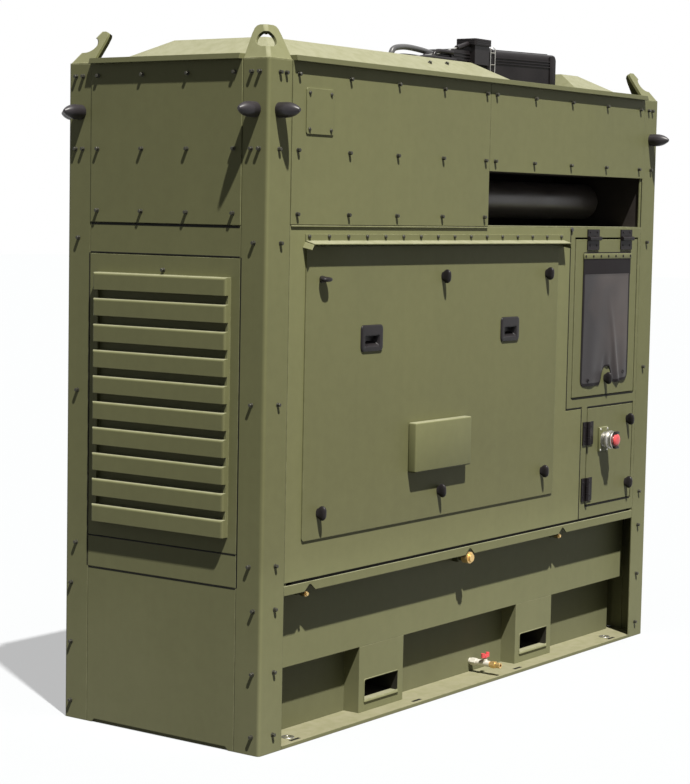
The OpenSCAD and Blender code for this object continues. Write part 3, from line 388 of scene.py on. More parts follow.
def soft_box(w, d, h, r, segments=3):
    """Box with rounded edges, standing on z = 0 with its middle over the origin."""
    bm = bmesh.new()
    bmesh.ops.create_cube(bm, size=1.0)
    bmesh.ops.scale(bm, vec=(w, d, h), verts=bm.verts)
    bmesh.ops.translate(bm, vec=(0, 0, h / 2), verts=bm.verts)
    bmesh.ops.bevel(bm, geom=bm.edges[:], offset=r, segments=segments, profile=0.5, affect="EDGES")
    pts = np.array([v.co for v in bm.verts], float)
    bm.verts.index_update()
    faces = [tuple(v.index for v in f.verts) for f in bm.faces]
    bm.free()
    return pts, faces


def rounded(w, h, r, k=4):
    """Points of a rounded rectangle round the origin, k steps to a corner."""
    out = []
    for cx, cy, a0 in ((w / 2 - r, h / 2 - r, 0), (r - w / 2, h / 2 - r, 90),
                       (r - w / 2, r - h / 2, 180), (w / 2 - r, r - h / 2, 270)):
        for i in range(k + 1):
            a = math.radians(a0 + 90 * i / k)
            out.append((cx + r * math.cos(a), cy + r * math.sin(a)))
    return out


def skin_faces(loops, n, capped=True):
    """Faces over a number of loops of n points each."""
    faces = []
    for k in range(loops - 1):
        for i in range(n):
            j = (i + 1) % n
            faces.append((k * n + i, k * n + j, (k + 1) * n + j, (k + 1) * n + i))
    if capped:
        faces.append(tuple(reversed(range(n))))
        faces.append(tuple(range((loops - 1) * n, loops * n)))
    return faces


def loft(loops, capped=True):
    """Skin over loops of equal length, each a list of (x, y, z)."""
    pts = [p for loop in loops for p in loop]
    return np.array(pts, float), skin_faces(len(loops), len(loops[0]), capped)


def tube(path, r, n=10):
    """Round bar along points."""
    pts = []
    side = None
    for i, p in enumerate(path):
        a, b = Vector(path[max(i - 1, 0)]), Vector(path[min(i + 1, len(path) - 1)])
        way = (b - a).normalized()
        if side is None:
            side = way.orthogonal().normalized()
        side = (side - way * side.dot(way)).normalized()
        other = way.cross(side)
        for k in range(n):
            t = 2 * math.pi * k / n
            pts.append(Vector(p) + r * (math.cos(t) * side + math.sin(t) * other))
    return np.array(pts, float), skin_faces(len(path), n)


def eased(points, n=6):
    """Points along a smooth line through the given ones."""
    p = [Vector(q) for q in points]
    p = [p[0]] + p + [p[-1]]
    out = []
    for a, b, c, d in zip(p, p[1:], p[2:], p[3:]):
        for k in range(n):
            t = k / n
            square = 2 * a - 5 * b + 4 * c - d
            cube = 3 * b - a - 3 * c + d
            out.append(0.5 * (2 * b + (c - a) * t + square * t * t + cube * t ** 3))
    return out + [p[-1]]


def join(*shapes):
    pts, faces, base = [], [], 0
    for p, f in shapes:
        pts.append(np.asarray(p, float))
        faces += [tuple(i + base for i in face) for face in f]
        base += len(p)
    return np.concatenate(pts), faces


def moved(shape, x=0, y=0, z=0):
    return shape[0] + np.array((x, y, z)), shape[1]


def turned(shape, deg):
    """Turned about its own Z."""
    m = np.array(Matrix.Rotation(math.radians(deg), 3, "Z"))
    return shape[0] @ m.T, shape[1]


def mirrored(shape, flip_x, flip_y):
    """The same shape at another corner of the footprint."""
    p = shape[0].copy()
    if flip_x:
        p[:, 0] = LENGTH - p[:, 0]
    if flip_y:
        p[:, 1] = WIDTH - p[:, 1]
    return p, shape[1]


# Frames of the faces: origin in corner millimetres, then the face's right, up and outward axes.
# The slope is the front one of the raised roof parts.
SLOPE_Y, SLOPE_Z = 78, 1891
SLOPE_RUN, SLOPE_RISE = 0.8773, 0.4799
FACES = {
    "front": ((0, 0, 0), (1, 0, 0), (0, 0, 1), (0, -1, 0)),
    "back": ((LENGTH, WIDTH, 0), (-1, 0, 0), (0, 0, 1), (0, 1, 0)),
    "left": ((0, WIDTH, 0), (0, -1, 0), (0, 0, 1), (-1, 0, 0)),
    "right": ((LENGTH, 0, 0), (0, 1, 0), (0, 0, 1), (1, 0, 0)),
    "top": ((0, 0, 0), (1, 0, 0), (0, 1, 0), (0, 0, 1)),
    "slope": ((0, SLOPE_Y, SLOPE_Z), (1, 0, 0), (0, SLOPE_RUN, SLOPE_RISE), (0, -SLOPE_RISE, SLOPE_RUN)),
}
SIDES = ("front", "back")
ENDS = ("left", "right")


def on_face(shape, face, u, v, lift=0.0, spin=0.0):
    """Places a shape on a face at u along it and v up it, lift out of it."""
    if spin:
        shape = turned(shape, spin)
    origin, *axes = (np.array(a, float) for a in FACES[face])
    return origin + (shape[0] + np.array((u, v, lift))) @ np.array(axes), shape[1]


def piece(name, shape, mat, body="housing", smooth=35, stands_for=()):
    """Makes a piece from a shape in corner millimetres and lets it ride on a body."""
    pts = (shape[0] - np.array(CORNER)) * MM
    mesh = bpy.data.meshes.new(name)
    mesh.from_pydata(pts.tolist(), [], shape[1])
    mesh.validate()
    mesh.update()
    bm = bmesh.new()
    bm.from_mesh(mesh)
    bmesh.ops.recalc_face_normals(bm, faces=bm.faces)
    for e in bm.edges:
        e.smooth = len(e.link_faces) == 2 and e.calc_face_angle(0) < math.radians(smooth)
    for f in bm.faces:
        f.smooth = True
    bm.to_mesh(mesh)
    bm.free()
    mesh.materials.append(M[mat])
    obj = bpy.data.objects.new(name, mesh)
    scene.collection.objects.link(obj)
    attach(obj, body)
    if stands_for:
        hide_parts(*stands_for)
    return obj


# Fasteners
def hex_bolt(flats=9.4, head=8.0, washer=6.2):
    """Flanged hex head."""
    r = flats / math.sqrt(3)
    flange = lathe([(washer, 0), (washer, 1.2), (washer - 0.5, 1.7), (r * 0.8, 1.7)], 24)
    body = lathe([(r * 0.98, 1.6), (r, 2.0), (r, head + 0.9), (r * 0.86, head + 1.7), (0, head + 2.2)], 6)
    return join(flange, body)


def dome(r, h, n=16):
    """Rivet head: a short upright edge under a round top."""
    edge = 0.25
    steps = [(r, 0), (r, h * edge)]
    for a in map(math.radians, (20, 40, 60, 78)):
        steps.append((r * math.cos(a), h * (edge + (1 - edge) * math.sin(a))))
    return lathe(steps + [(0, h)], n)


def pan_screw(r, h):
    """Low round head with two fine crossed bars that read as its cross recess."""
    cross = moved(soft_box(r * 1.1, r * 0.26, h * 0.35, r * 0.05, 1), 0, 0, h * 0.72)
    return join(dome(r, h), cross, turned(cross, 90))


BOLT = hex_bolt()
LAP = -box_mm("front_upper_left_panel")[0].y
POST_ROWS = (1842, 1639, 1389, 955, 516, 397, 224, 51)
END_COLS = ((30, 57), (30, 57), (43,), (43,), (43,), (26,), (26,), (26,))
FRONT_COLS = ((46, 72), (46,), (59,), (59,), (59,), (59,), (59,), (59,))
PANEL_ROWS = (1842, 1639, 1467)
END_PANEL_COLS, END_PANEL_SHIFT = (112, 275.5, 438.5, 602), 3
LEFT_PANEL_COLS = (127, 364, 601, 838, 1074)
RIGHT_PANEL_COLS = (1130, 1364, 1597, 1832, 2065)
BAND_BOLT = (361, 1307)


def post_bolts():
    """Bolts in the corner posts, each turned a little differently."""
    out = []
    for row, (z, ends, fronts) in enumerate(zip(POST_ROWS, END_COLS, FRONT_COLS)):
        for side in SIDES + ENDS:
            size, cols = (LENGTH, fronts) if side in SIDES else (WIDTH, ends)
            for c in cols:
                for u in (c, size - c):
                    out.append(on_face(BOLT, side, u, z, 0, (row * 17 + c * 7 + u) % 60))
    return join(*out)


def panel_bolts():
    """Bolts in the upper panels; the back repeats the left front panel at both its ends."""
    out = []
    for z in PANEL_ROWS:
        for y in END_PANEL_COLS:
            for side in ENDS:
                out.append(on_face(BOLT, side, y + END_PANEL_SHIFT, z, LAP, (y + z) % 60))
        for x in LEFT_PANEL_COLS:
            out.append(on_face(BOLT, "front", x, z, LAP, (x + z) % 60))
            out.append(on_face(BOLT, "back", x, z, LAP, (x + z) % 60))
            out.append(on_face(BOLT, "back", LENGTH - x, z, LAP, (x * 3 + z) % 60))
        if z != PANEL_ROWS[-1]:
            for x in RIGHT_PANEL_COLS:
                out.append(on_face(BOLT, "front", x, z, LAP, (x + z) % 60))
    out += [on_face(BOLT, side, *BAND_BOLT, 0, 11) for side in ENDS]
    return join(*out)


piece("post_bolts", post_bolts(), "bolt")
piece("panel_bolts", panel_bolts(), "bolt")

# Rivets over the drip rails, and the rails' turned-down ends
drip_lo, drip_hi = box_mm("front_drip_rail")
RIVETS, RIVET_DROP, RIVET_LEFT, RIVET_RIGHT = 16, 7, 14, 20
RAIL_T, RAIL_SHORT = 2.4, 4
rivet_step = (drip_hi.x - drip_lo.x - RIVET_LEFT - RIVET_RIGHT) / (RIVETS - 1)
rivet_z = drip_hi.z - RIVET_DROP
rivet_row = [on_face(dome(6.0, 5.6), side, drip_lo.x + RIVET_LEFT + i * rivet_step, rivet_z, 3)
             for i in range(RIVETS) for side in SIDES]
piece("drip_rivets", join(*rivet_row), "bolt")


def rail_end(x, way):
    """Tongue that falls away from a rail's end; way is how far it leans along the rail."""
    top = [(x, 0, drip_lo.z + 8), (x, drip_lo.y, drip_lo.z),
           (x + way * 9, drip_lo.y, drip_lo.z - 13), (x + way * 11, 0, drip_lo.z - 7)]
    return loft([[(a, b, c - RAIL_T) for a, b, c in top], top])


ends = [rail_end(drip_lo.x, -1), rail_end(drip_hi.x - RAIL_SHORT, 0.3)]
ends += [mirrored(end, True, True) for end in ends]
piece("drip_rail_ends", join(*ends), "olive")

# Screws of the access plate and of the roof's front slope
plate_lo, plate_hi = box_mm("access_plate")
SCREW_INSET = 13
SLOPE_SCREWS = ((993, 88), (1100, 97))
plate_screws = [on_face(pan_screw(5.4, 4.6), "front", x, z, -plate_lo.y)
                for x in (plate_lo.x + SCREW_INSET, plate_hi.x - SCREW_INSET)
                for z in (plate_lo.z + SCREW_INSET, plate_hi.z - SCREW_INSET)]
piece("access_screws", join(*plate_screws), "bolt")
slope_screws = [on_face(hex_bolt(10, 5, 7.5), "slope", x, v, 0, x % 40) for x, v in SLOPE_SCREWS]
piece("slope_screws", join(*slope_screws), "bolt")

# Lifting lugs: the two faces of each post go on as a leaning corner hood with an eye through its ridge.
# LUG_LEAN is inward for each millimetre up, RIDGE the radius of the fold between the faces.
LUG_Z, LUG_H, LUG_T = 1876.0, 95.0, 9.0
LUG_LEAN, RIDGE = 0.661, 10.0
LUG_END_W, LUG_FRONT_W = (87.0, 97.0), (100.0, 110.0)
LUG_BASE = ((3, 3), (10, 0), (102, 0), (102, 89), (0, 89), (0, 10))
LUG_BASE_T, LUG_LAP, LUG_SINK = 3.0, 4, 8.0
EYE = np.array((58.9, 58.9, 44.0))
EYE_WAY = np.array((0.6509, 0.6509, -0.3907))
EYE_R = 28.0


def eye_edge(h):
    """Where the eye's rim crosses a lug face at height h, or None outside the eye."""
    p0 = np.array((LUG_LEAN * h, 0.0, h)) - EYE
    step = np.array((0.0, 1.0, 0.0))
    a = np.cross(p0, EYE_WAY)
    b = np.cross(step, EYE_WAY)
    disc = a.dot(b) ** 2 - b.dot(b) * (a.dot(a) - EYE_R ** 2)
    if disc < 0:
        return None
    return (-a.dot(b) + math.sqrt(disc)) / b.dot(b)


def ridge(h):
    """Where a lug face meets the fold at height h."""
    return LUG_LEAN * h + RIDGE


# Heights at which the eye cuts into the faces
EYE_CUT = [h for h in np.linspace(0, LUG_H, 191) if eye_edge(h) is not None and eye_edge(h) > ridge(h)]


def lug_face(wide_foot, wide_top):
    """Face over the end side: x leans in with height, y runs from the ridge to the free edge."""
    low, high = EYE_CUT[0], EYE_CUT[-1]
    line = [(ridge(0), 0), (ridge(low), low)]
    line += [(eye_edge(h), h) for h in EYE_CUT[1:-1:4]]
    line += [(ridge(high), high), (ridge(LUG_H), LUG_H)]
    line += [(wide_top - 14, LUG_H), (wide_top - 5, LUG_H - 3), (wide_top - 1, LUG_H - 10),
             (wide_top - 1, LUG_H - 26), (wide_foot, 0)]
    outer = np.array([(LUG_LEAN * h, y, h) for y, h in line])
    lean = math.atan(LUG_LEAN)
    inward = np.array((math.cos(lean), 0.0, -math.sin(lean))) * LUG_T
    return loft([outer, outer + inward])


def lug_fold(low, high, sink):
    """Rounded fold between the faces; sink lowers the inner edge of its lower end."""
    loops = []
    for h, drop in ((low, sink), (high, 0.0)):
        inner, r = LUG_LEAN * h + LUG_T, ridge(h)
        bend = [(r - RIDGE * math.cos(q), r - RIDGE * math.sin(q), h)
                for q in (math.pi / 2 * k / 6 for k in range(7))]
        loops.append(bend + [(r + LUG_LAP, inner, h - drop), (inner, r + LUG_LAP, h - drop)])
    return loft(loops)


def lug():
    pts, faces = lug_face(*LUG_FRONT_W)
    front_side = pts[:, (1, 0, 2)], faces
    closing = loft([[(x, y, z) for x, y in LUG_BASE] for z in (0.0, LUG_BASE_T)])
    folds = lug_fold(0.0, EYE_CUT[0], 0.0), lug_fold(EYE_CUT[-1], LUG_H, LUG_SINK)
    return moved(join(lug_face(*LUG_END_W), front_side, closing, *folds), 0, 0, LUG_Z)


lugs = [mirrored(lug(), flip_x, flip_y) for flip_x in (False, True) for flip_y in (False, True)]
piece("corner_lugs", join(*lugs), "olive", stands_for=("lifting_lugs",), smooth=50)

# Bare rings round the hold-down holes
HOLD_X, HOLD_Y = 190, 46
ring = lathe([(10, 0.0), (19, 0.0), (19, 2.0), (18.4, 2.6), (10.4, 2.6), (10, 2.2), (10, 0.0)], 32, False)
plate_top = box_mm("base_plate")[1].z
rings = [on_face(ring, "top", x, y, plate_top)
         for x in (HOLD_X, LENGTH - HOLD_X) for y in (HOLD_Y, WIDTH - HOLD_Y)]
piece("hold_down_rings", join(*rings), "steel")

# Quarter-turn wing knobs in place of the plain solids: (height, width, depth) up the paddle,
# and how far the knobs sit from the solids' places
KNOB = ((0, 26, 20), (3, 28, 19), (7, 36, 16), (11.5, 41, 15), (17, 41, 14.4), (22, 37, 13),
        (26, 28, 10), (27.5, 14, 5))
HATCH_KNOB_SHIFT, HATCH_KNOB_RISE, FLAP_KNOB_SHIFT, DOOR_KNOB_SHIFT = -18, 4, -13, -12
DOOR_KNOB_IN = 23.5


def wing_knob(turn_deg):
    """Paddle with a flared foot and rounded ends."""
    loops = []
    for z, w, d in KNOB:
        loop = []
        for a in (2 * math.pi * k / 36 for k in range(36)):
            blunt = math.copysign(abs(math.cos(a)) ** 0.75, math.cos(a))
            loop.append((w / 2 * blunt, d / 2 * math.sin(a), z))
        loops.append(loop)
    return turned(loft(loops), turn_deg)


hatch_lo, hatch_hi = box_mm("front_hatch")
HATCH_T = -hatch_lo.y
knob_left, knob_right = hatch_lo.x + 90, hatch_hi.x - 57
knob_x = (knob_left, (knob_left + knob_right) / 2, knob_right)
knob_z = (hatch_lo.z + 73, hatch_hi.z - 95)
knobs = []
for side in SIDES:
    for i, x in enumerate(knob_x):
        for j, z in enumerate(knob_z):
            # the upper left one on the front stands level, the others nearly upright
            level = side == "front" and (i, j) == (0, 1)
            spin = 0 if level else 90 + (i * 7 + j * 5) % 9 - 4
            rise = HATCH_KNOB_RISE * (1 if j else i)
            knobs.append(on_face(wing_knob(spin), side, x + HATCH_KNOB_SHIFT, z + rise, HATCH_T))
piece("latch_knobs", join(*knobs), "plastic", stands_for=("hatch_latches",))

latch_x, latch_z = middle(*box_mm("control_latch"))
piece("flap_knob", on_face(wing_knob(90), "front", latch_x + FLAP_KNOB_SHIFT, latch_z, 0), "plastic",
      "control_door", stands_for=("control_latch",))
lo, hi = box_mm("connection_latches")
conn = [on_face(wing_knob(a), "front", middle(lo, hi)[0] + DOOR_KNOB_SHIFT, z, 0)
        for z, a in ((lo.z + DOOR_KNOB_IN, 84), (hi.z - DOOR_KNOB_IN, 97))]
piece("connection_knobs", join(*conn), "plastic", "connection_door", stands_for=("connection_latches",))


# Flush pull handles: rimmed plate round a cup with a lit lower slope
def pull_handle(w, h):
    def loop(lw, lh, r, z, up=0.0):
        return [(x, y + up, z) for x, y in rounded(lw, lh, r)]
    rim = [loop(w - 22, h - 22, 10, -18), loop(w - 22, h - 22, 10, 0.2),
           loop(w, h, 12, 0.2), loop(w, h, 12, 2.0), loop(w - 1.6, h - 1.6, 11.4, 3.6),
           loop(w - 5, h - 5, 10, 4.6), loop(w - 12, h - 10, 8, 5.0)]
    cup = [loop(w - 34, 34, 5, 4.6, -8), loop(w - 38, 30, 5, 2.0, -7),
           loop(w - 42, 22, 5, -9, -3.5), loop(w - 46, 16, 5, -15, -1)]
    grip = soft_box(w - 40, 7, 7, 2.4, 3)
    return join(loft(rim + cup), moved(grip, 0, 9, -4.5))


HANDLE_W, HANDLE_H, HANDLE_SHIFT, HANDLE_RISE = 107, 76, -7, 4
handle_z = middle(*box_mm("hatch_handles"))[1] + HANDLE_RISE
handles = [on_face(pull_handle(HANDLE_W, HANDLE_H), side, x + HANDLE_SHIFT, handle_z, HATCH_T)
           for side in SIDES for x in (hatch_lo.x + 320, hatch_hi.x - 288)]
piece("pull_handles", join(*handles), "plastic", stands_for=("hatch_handles",))

# Cover box on the hatch, with rolled edges
BOX_OUT, BOX_NARROWER, BOX_SHIFT = 29.0, 24, -20
box_lo, box_hi = box_mm("hatch_box")
box_x, box_z = middle(box_lo, box_hi)
cover = soft_box(box_hi.x - box_lo.x - BOX_NARROWER, box_hi.z - box_lo.z, BOX_OUT, 5.0, 4)
piece("cover_box", on_face(cover, "front", box_x + BOX_SHIFT, box_z, HATCH_T), "olive",
      stands_for=("hatch_box",))

# Rubber strip in the stepped seam beside the hatch frame
SEAM, SEAM_DEPTH, SEAM_R = 3.0, 2.0, 2.9
COLUMN_MARGIN, DOOR_GAP = 33, 2
frame_lo, frame_hi = box_mm("hatch_frame")
seam_low = frame_hi.x + SEAM
seam_high = box_mm("control_door")[0].x - COLUMN_MARGIN - SEAM
step_z = box_mm("connection_door")[1].z + DOOR_GAP + SEAM
seam_path = [(seam_high, frame_hi.z - 2), (seam_high, step_z + 6), (seam_high + 2, step_z + 1.6),
             (seam_high + 6, step_z), (seam_low - 6, step_z), (seam_low - 2, step_z - 1.6),
             (seam_low, step_z - 6), (seam_low, frame_lo.z + 1)]
seam = tube([(x, SEAM_DEPTH, z) for x, z in seam_path], SEAM_R, 10)
piece("seam_rubber", seam, "gasket_and_shadow")

# Flap over the controls: a hung sheet, held by a riveted strip and gathered round the latch.
# U and V count its columns and rows; BAND is the share of its height that the strip's band takes.
flap_lo, flap_hi = box_mm("control_flap")
FLAP_W, FLAP_H = flap_hi.x - flap_lo.x, flap_hi.z - flap_lo.z
FLAP_T = 0.0012
U, V = 72, 92
BAND, BAND_T = 0.165, 1.4
EDGE_SHADE_ROWS, EDGE_SHADE_COLUMNS = 2, 5
FLAP_R, FOOT_RISE = 24.0, 12
ARCH_H, ARCH_W, ARCH_SHIFT = 62, 37.0, -8
arch_mid = latch_x - flap_lo.x + ARCH_SHIFT
# Share of a cosine that is left off at both sides, and its value there
SIDE_CUT, SIDE_U = 0.08, 0.0157
# Folds: place across, width, depth and lean
FOLDS = ((0.60, 0.042, 8.0, 0.34), (0.24, 0.10, 2.2, -0.05), (0.87, 0.07, 2.4, 0.05))


def flap_foot(u):
    """Height of the lower edge: two flat lobes with round corners and an arch over the latch."""
    x = u * FLAP_W
    arch = ARCH_H * math.exp(-(((x - arch_mid) / ARCH_W) ** 4))
    side = min(x, FLAP_W - x)
    corner = FLAP_R - math.sqrt(FLAP_R ** 2 - (FLAP_R - side) ** 2) if side < FLAP_R else 0.0
    return arch + corner + FOOT_RISE * max(0.0, (x - arch_mid) / (FLAP_W - arch_mid))


def flap_out(u, v):
    """How far the sheet hangs out of the door at u across and v down."""
    belly = 4.5 * math.sin(math.pi * min(1.0, v * 1.02)) * math.sin(math.pi * u) ** 0.7
    fold = 0.0
    for where, wide, deep, lean in FOLDS:
        c = where + lean * (v - 0.5)
        fold += deep * math.exp(-((u - c) / wide) ** 2) * max(0.0, v - 0.3) ** 1.2 * 1.5
    away = (u * FLAP_W - arch_mid) / 46.0
    gather = 2.6 * math.sin(u * 36.0) * max(0.0, v - 0.80) / 0.20 * math.exp(-away * away * 0.5)
    flutter = 0.7 * math.sin(u * 17 + v * 5) * v
    return max(1.2, 1.6 + belly + fold + gather + flutter + BAND_T * (v < BAND))


def flap_shape():
    pts = []
    for v in (j / V for j in range(V + 1)):
        for i in range(U + 1):
            # columns close up at both sides, where the corners are round
            u = 0.5 - 0.5 * math.cos(math.pi * (SIDE_CUT + (1 - 2 * SIDE_CUT) * i / U))
            u = (u - SIDE_U) / (1 - 2 * SIDE_U)
            z = FLAP_H - v * (FLAP_H - flap_foot(u) * v ** 2.5)
            pts.append((flap_lo.x + u * FLAP_W, -flap_out(u, v), flap_lo.z + z))
    row = U + 1
    faces = [(j * row + i, j * row + i + 1, (j + 1) * row + i + 1, (j + 1) * row + i)
             for j in range(V) for i in range(U)]
    return np.array(pts), faces


flap = piece("control_cover", flap_shape(), "vinyl", "control_door", smooth=180,
             stands_for=("control_flap",))
flap.data.materials.append(M["hem_and_edge_shade"])
# The band under the strip is darker vinyl; the bottom rows and side columns are painted shade where the
# sheet curls under
for poly in flap.data.polygons:
    row, column = divmod(poly.index, U)
    hem_and_edge_shade = row >= V - EDGE_SHADE_ROWS or min(column, U - 1 - column) < EDGE_SHADE_COLUMNS
    poly.material_index = int(row < int(BAND * V) or hem_and_edge_shade)
thick = flap.modifiers.new("thickness", "SOLIDIFY")
thick.thickness = FLAP_T
thick.offset = 0

# Eyelets low in the flap, and the riveted strip along its top
EYELETS = ((47, 19), (FLAP_W - 36, 38))
STRIP_DROP, STRIP_RIVETS, STRIP_INSET = 13, 7, 8
eyelet = lathe([(3.4, 0), (6.4, 0), (6.4, 1.2), (5.6, 1.9), (4.0, 1.6), (3.4, 0.6)], 20, False)
eyelets = [on_face(eyelet, "front", flap_lo.x + x, flap_lo.z + z, 4.6) for x, z in EYELETS]
piece("flap_eyelets", join(*eyelets), "hinge", "control_door")

strip_z = flap_hi.z - STRIP_DROP
strip = soft_box(FLAP_W + 4, 18, 2.6, 0.8, 2)
piece("flap_strip", on_face(strip, "front", middle(flap_lo, flap_hi)[0], strip_z, 3.4), "olive",
      "control_door")
strip_step = (FLAP_W - 2 * STRIP_INSET) / (STRIP_RIVETS - 1)
strip_rivets = [on_face(dome(4.2, 2.6), "front", flap_lo.x + STRIP_INSET + i * strip_step, strip_z, 6.0)
                for i in range(STRIP_RIVETS)]
piece("flap_rivets", join(*strip_rivets), "hinge", "control_door")

# Screws in the hinge leaves: two to a leaf, on the frame's side and on the door's
LEAF, LEAF_T, LEAF_HOLE = 78, 4, 16
FRAME_HOLE, DOOR_HOLE = 9, 16
leaf_screw = pan_screw(4.0, 2.0)
fixed, on_control, on_connect = [], [], []


def leaf_holes(first, last):
    """Places of the screws along the two leaves between first and last."""
    return [start + hole for start in (first, last - LEAF) for hole in (LEAF_HOLE, LEAF - LEAF_HOLE)]


hinge_lo, hinge_hi = box_mm("control_hinges")
for x in leaf_holes(hinge_lo.x, hinge_hi.x):
    fixed.append(on_face(leaf_screw, "front", x, hinge_hi.z - FRAME_HOLE, LEAF_T, x % 50))
    on_control.append(on_face(leaf_screw, "front", x, hinge_lo.z - DOOR_HOLE, LEAF_T, x % 70))
hinge_lo, hinge_hi = box_mm("connection_hinges")
for z in leaf_holes(hinge_lo.z, hinge_hi.z):
    fixed.append(on_face(leaf_screw, "front", hinge_lo.x + FRAME_HOLE, z, LEAF_T, z % 50))
    on_connect.append(on_face(leaf_screw, "front", hinge_hi.x + DOOR_HOLE, z, LEAF_T, z % 70))
piece("hinge_screws", join(*fixed), "hinge")
piece("control_leaf_screws", join(*on_control), "hinge", "control_door")
piece("connection_leaf_screws", join(*on_connect), "hinge", "connection_door")

# Stop button: square foot, ribbed neck, bright collar, guard lobes and a mushroom head.
# Profiles are (radius, height above the door).
FOOT_T, FOOT_SCREW_X, FOOT_SCREW_Y = 7.3, 23, 35
NECK_RIBS, NECK_PITCH, NECK_FOOT = 6, 2.1, 10.0
COLLAR = ((20, 22.6), (30.2, 23.0), (31.2, 24.4), (31.2, 33.0), (30.2, 34.8), (26.5, 35.2), (26.5, 40.0),
          (29.0, 40.6), (29.0, 47.4), (28.0, 48.6), (22, 49.0), (14, 49.0), (14, 51.0))
HEAD = ((13, 49.5), (13, 52.0), (19.6, 52.6), (20.8, 54.0), (20.6, 57.4), (18.0, 60.0), (11.5, 61.6),
        (0, 62.0))
LOBE_SHIFT, LOBE_UP, LOBE_OUT = 2, 25.0, 48.0
stop_at = middle(*box_mm("stop_housing"))
ribs = [(25.0, 0.0), (25.0, 9.0)]
for k in range(NECK_RIBS):
    z0 = NECK_FOOT + k * NECK_PITCH
    ribs += [(23.4, z0), (25.4, z0 + 0.6), (25.4, z0 + 1.4), (23.4, z0 + 2.0)]
neck = lathe(ribs + [(20, 24)], 40)
foot = soft_box(60, 84, FOOT_T, 2.2, 3)
foot_screws = [moved(pan_screw(4.2, 2.2), x, y, FOOT_T)
               for x in (-FOOT_SCREW_X, FOOT_SCREW_X) for y in (-FOOT_SCREW_Y, FOOT_SCREW_Y)]
piece("stop_foot", on_face(foot, "front", *stop_at), "olive", "connection_door")
bright = join(neck, lathe(COLLAR, 48), *foot_screws)
piece("stop_collar", on_face(bright, "front", *stop_at), "steel", "connection_door",
      stands_for=("stop_housing",))
piece("stop_head", on_face(lathe(HEAD, 40), "front", *stop_at), "red", "connection_door",
      stands_for=("stop_button",))
lobe = soft_box(26, 8, 12, 2.6, 3)
guard = join(*(moved(lobe, LOBE_SHIFT, y, LOBE_OUT) for y in (LOBE_UP, -LOBE_UP)))
piece("stop_guard", on_face(guard, "front", *stop_at), "plastic", "connection_door")

# Dark sealing strips in and behind the seams; dark joint lines laid on the surface and widened into painted
# shadow under door and panel edges; painted shade in the base plate's slots: how far their faces lie out,
# and their thickness
BEHIND, IN_JOINT, ON_EDGE_SHADOW, BASE_GAP = (-3.3, 2.0), (-1.4, 1.5), (0.4, 1.2), (-4.0, 2.0)
POST_TOP = 1875
DOOR_SEAM_SHADOWS = ((1652, 2076, 870), (1763, 2076, 836.6), (1763, 2076, 501.4))
SLOT_X, SLOT_Y, SLOT_Z = (185, 792, 1378, 2005), 18, 8.8


def seams_and_painted_shadows():
    out = []

    def bar(face, u0, u1, v0, v1, lift, deep):
        shape = soft_box(u1 - u0, v1 - v0, deep, min(0.5, deep / 4), 1)
        out.append(on_face(shape, face, (u0 + u1) / 2, (v0 + v1) / 2, lift - deep))

    def level(face, u0, u1, v, half, kind):
        bar(face, u0, u1, v - half, v + half, *kind)

    def upright(face, u, half, v0, v1, kind):
        bar(face, u - half, u + half, v0, v1, *kind)

    for face in ENDS:
        for z in (452, 544, 1347, 1434):
            level(face, 122, WIDTH - 122, z, 7, BEHIND)
        for y in (88, WIDTH - 88):
            upright(face, y, 1.3, 0.5, POST_TOP, IN_JOINT)
        # painted shadow under the upper panel's bottom edge, and dark joint lines with painted shadow along
        # the lower seams and beside the posts
        level(face, 92, WIDTH - 92, 1430.05, 2.55, ON_EDGE_SHADOW)
        for z in (1349.8, 542.2, 449.6):
            level(face, 90, WIDTH - 90, z, 1.7, ON_EDGE_SHADOW)
        for y in (85.4, WIDTH - 85.4):
            upright(face, y, 1.6, 453, 1348, ON_EDGE_SHADOW)
    for face, panel_end in (("front", 1098), ("back", LENGTH - 140)):
        for x in (101, LENGTH - 101):
            upright(face, x, 1.3, 463, POST_TOP, IN_JOINT)
        level(face, 140, panel_end, 1438, 3, BEHIND)
        level(face, 140, LENGTH - 140, 458.5, 9.5, BASE_GAP)
    # painted shadow along the doors' edges
    for x0, x1, z in DOOR_SEAM_SHADOWS:
        level("front", x0, x1, z, 2.6, ON_EDGE_SHADOW)
    # painted shade: dark patches over the slots in the base plate
    for x in SLOT_X:
        for y in (SLOT_Y, WIDTH - SLOT_Y):
            out.append(moved(soft_box(44, 11, 1.6, 0.3, 1), x, y, SLOT_Z))
    return join(*out)


piece("seams_and_painted_shadows", seams_and_painted_shadows(), "gasket_and_shadow")

# Bead along the foot of the left front panel, and the grommet at the top of the stepped seam
BEAD, BEAD_X, BEAD_Z = (994, 4.4, 4.4, 1.4, 2), 600.5, 1435.0
piece("panel_bead", on_face(soft_box(*BEAD), "front", BEAD_X, BEAD_Z, 0), "olive")
grommet = lathe([(0, 0), (6.5, 0), (7.5, 1.2), (7.5, 4.0), (6.2, 5.6), (3.0, 6.2), (0, 6.2)], 24)
piece("seam_grommet", on_face(grommet, "front", seam_high + 2, frame_hi.z - 6, 0), "rubber")

# Thin rims round the fork openings, with a rolled lip below each and a painted sill inside.
# The rim's profile is (outset, height), the lip's (up, out).
RIM = ((0.2, -3), (0.2, 0.8), (1.0, 1.6), (2.4, 1.6), (3.2, 0.8), (3.2, 0.1))
LIP = ((-8, 0.1), (-8, 1.4), (-7, 3.2), (-5, 4.2), (-3.4, 4.0), (-0.6, 1.8), (0.4, 0.8), (0.4, 0.1))
LIP_TAPER, SILL_T, SILL_DEEP = 2, 0.8, 27.0


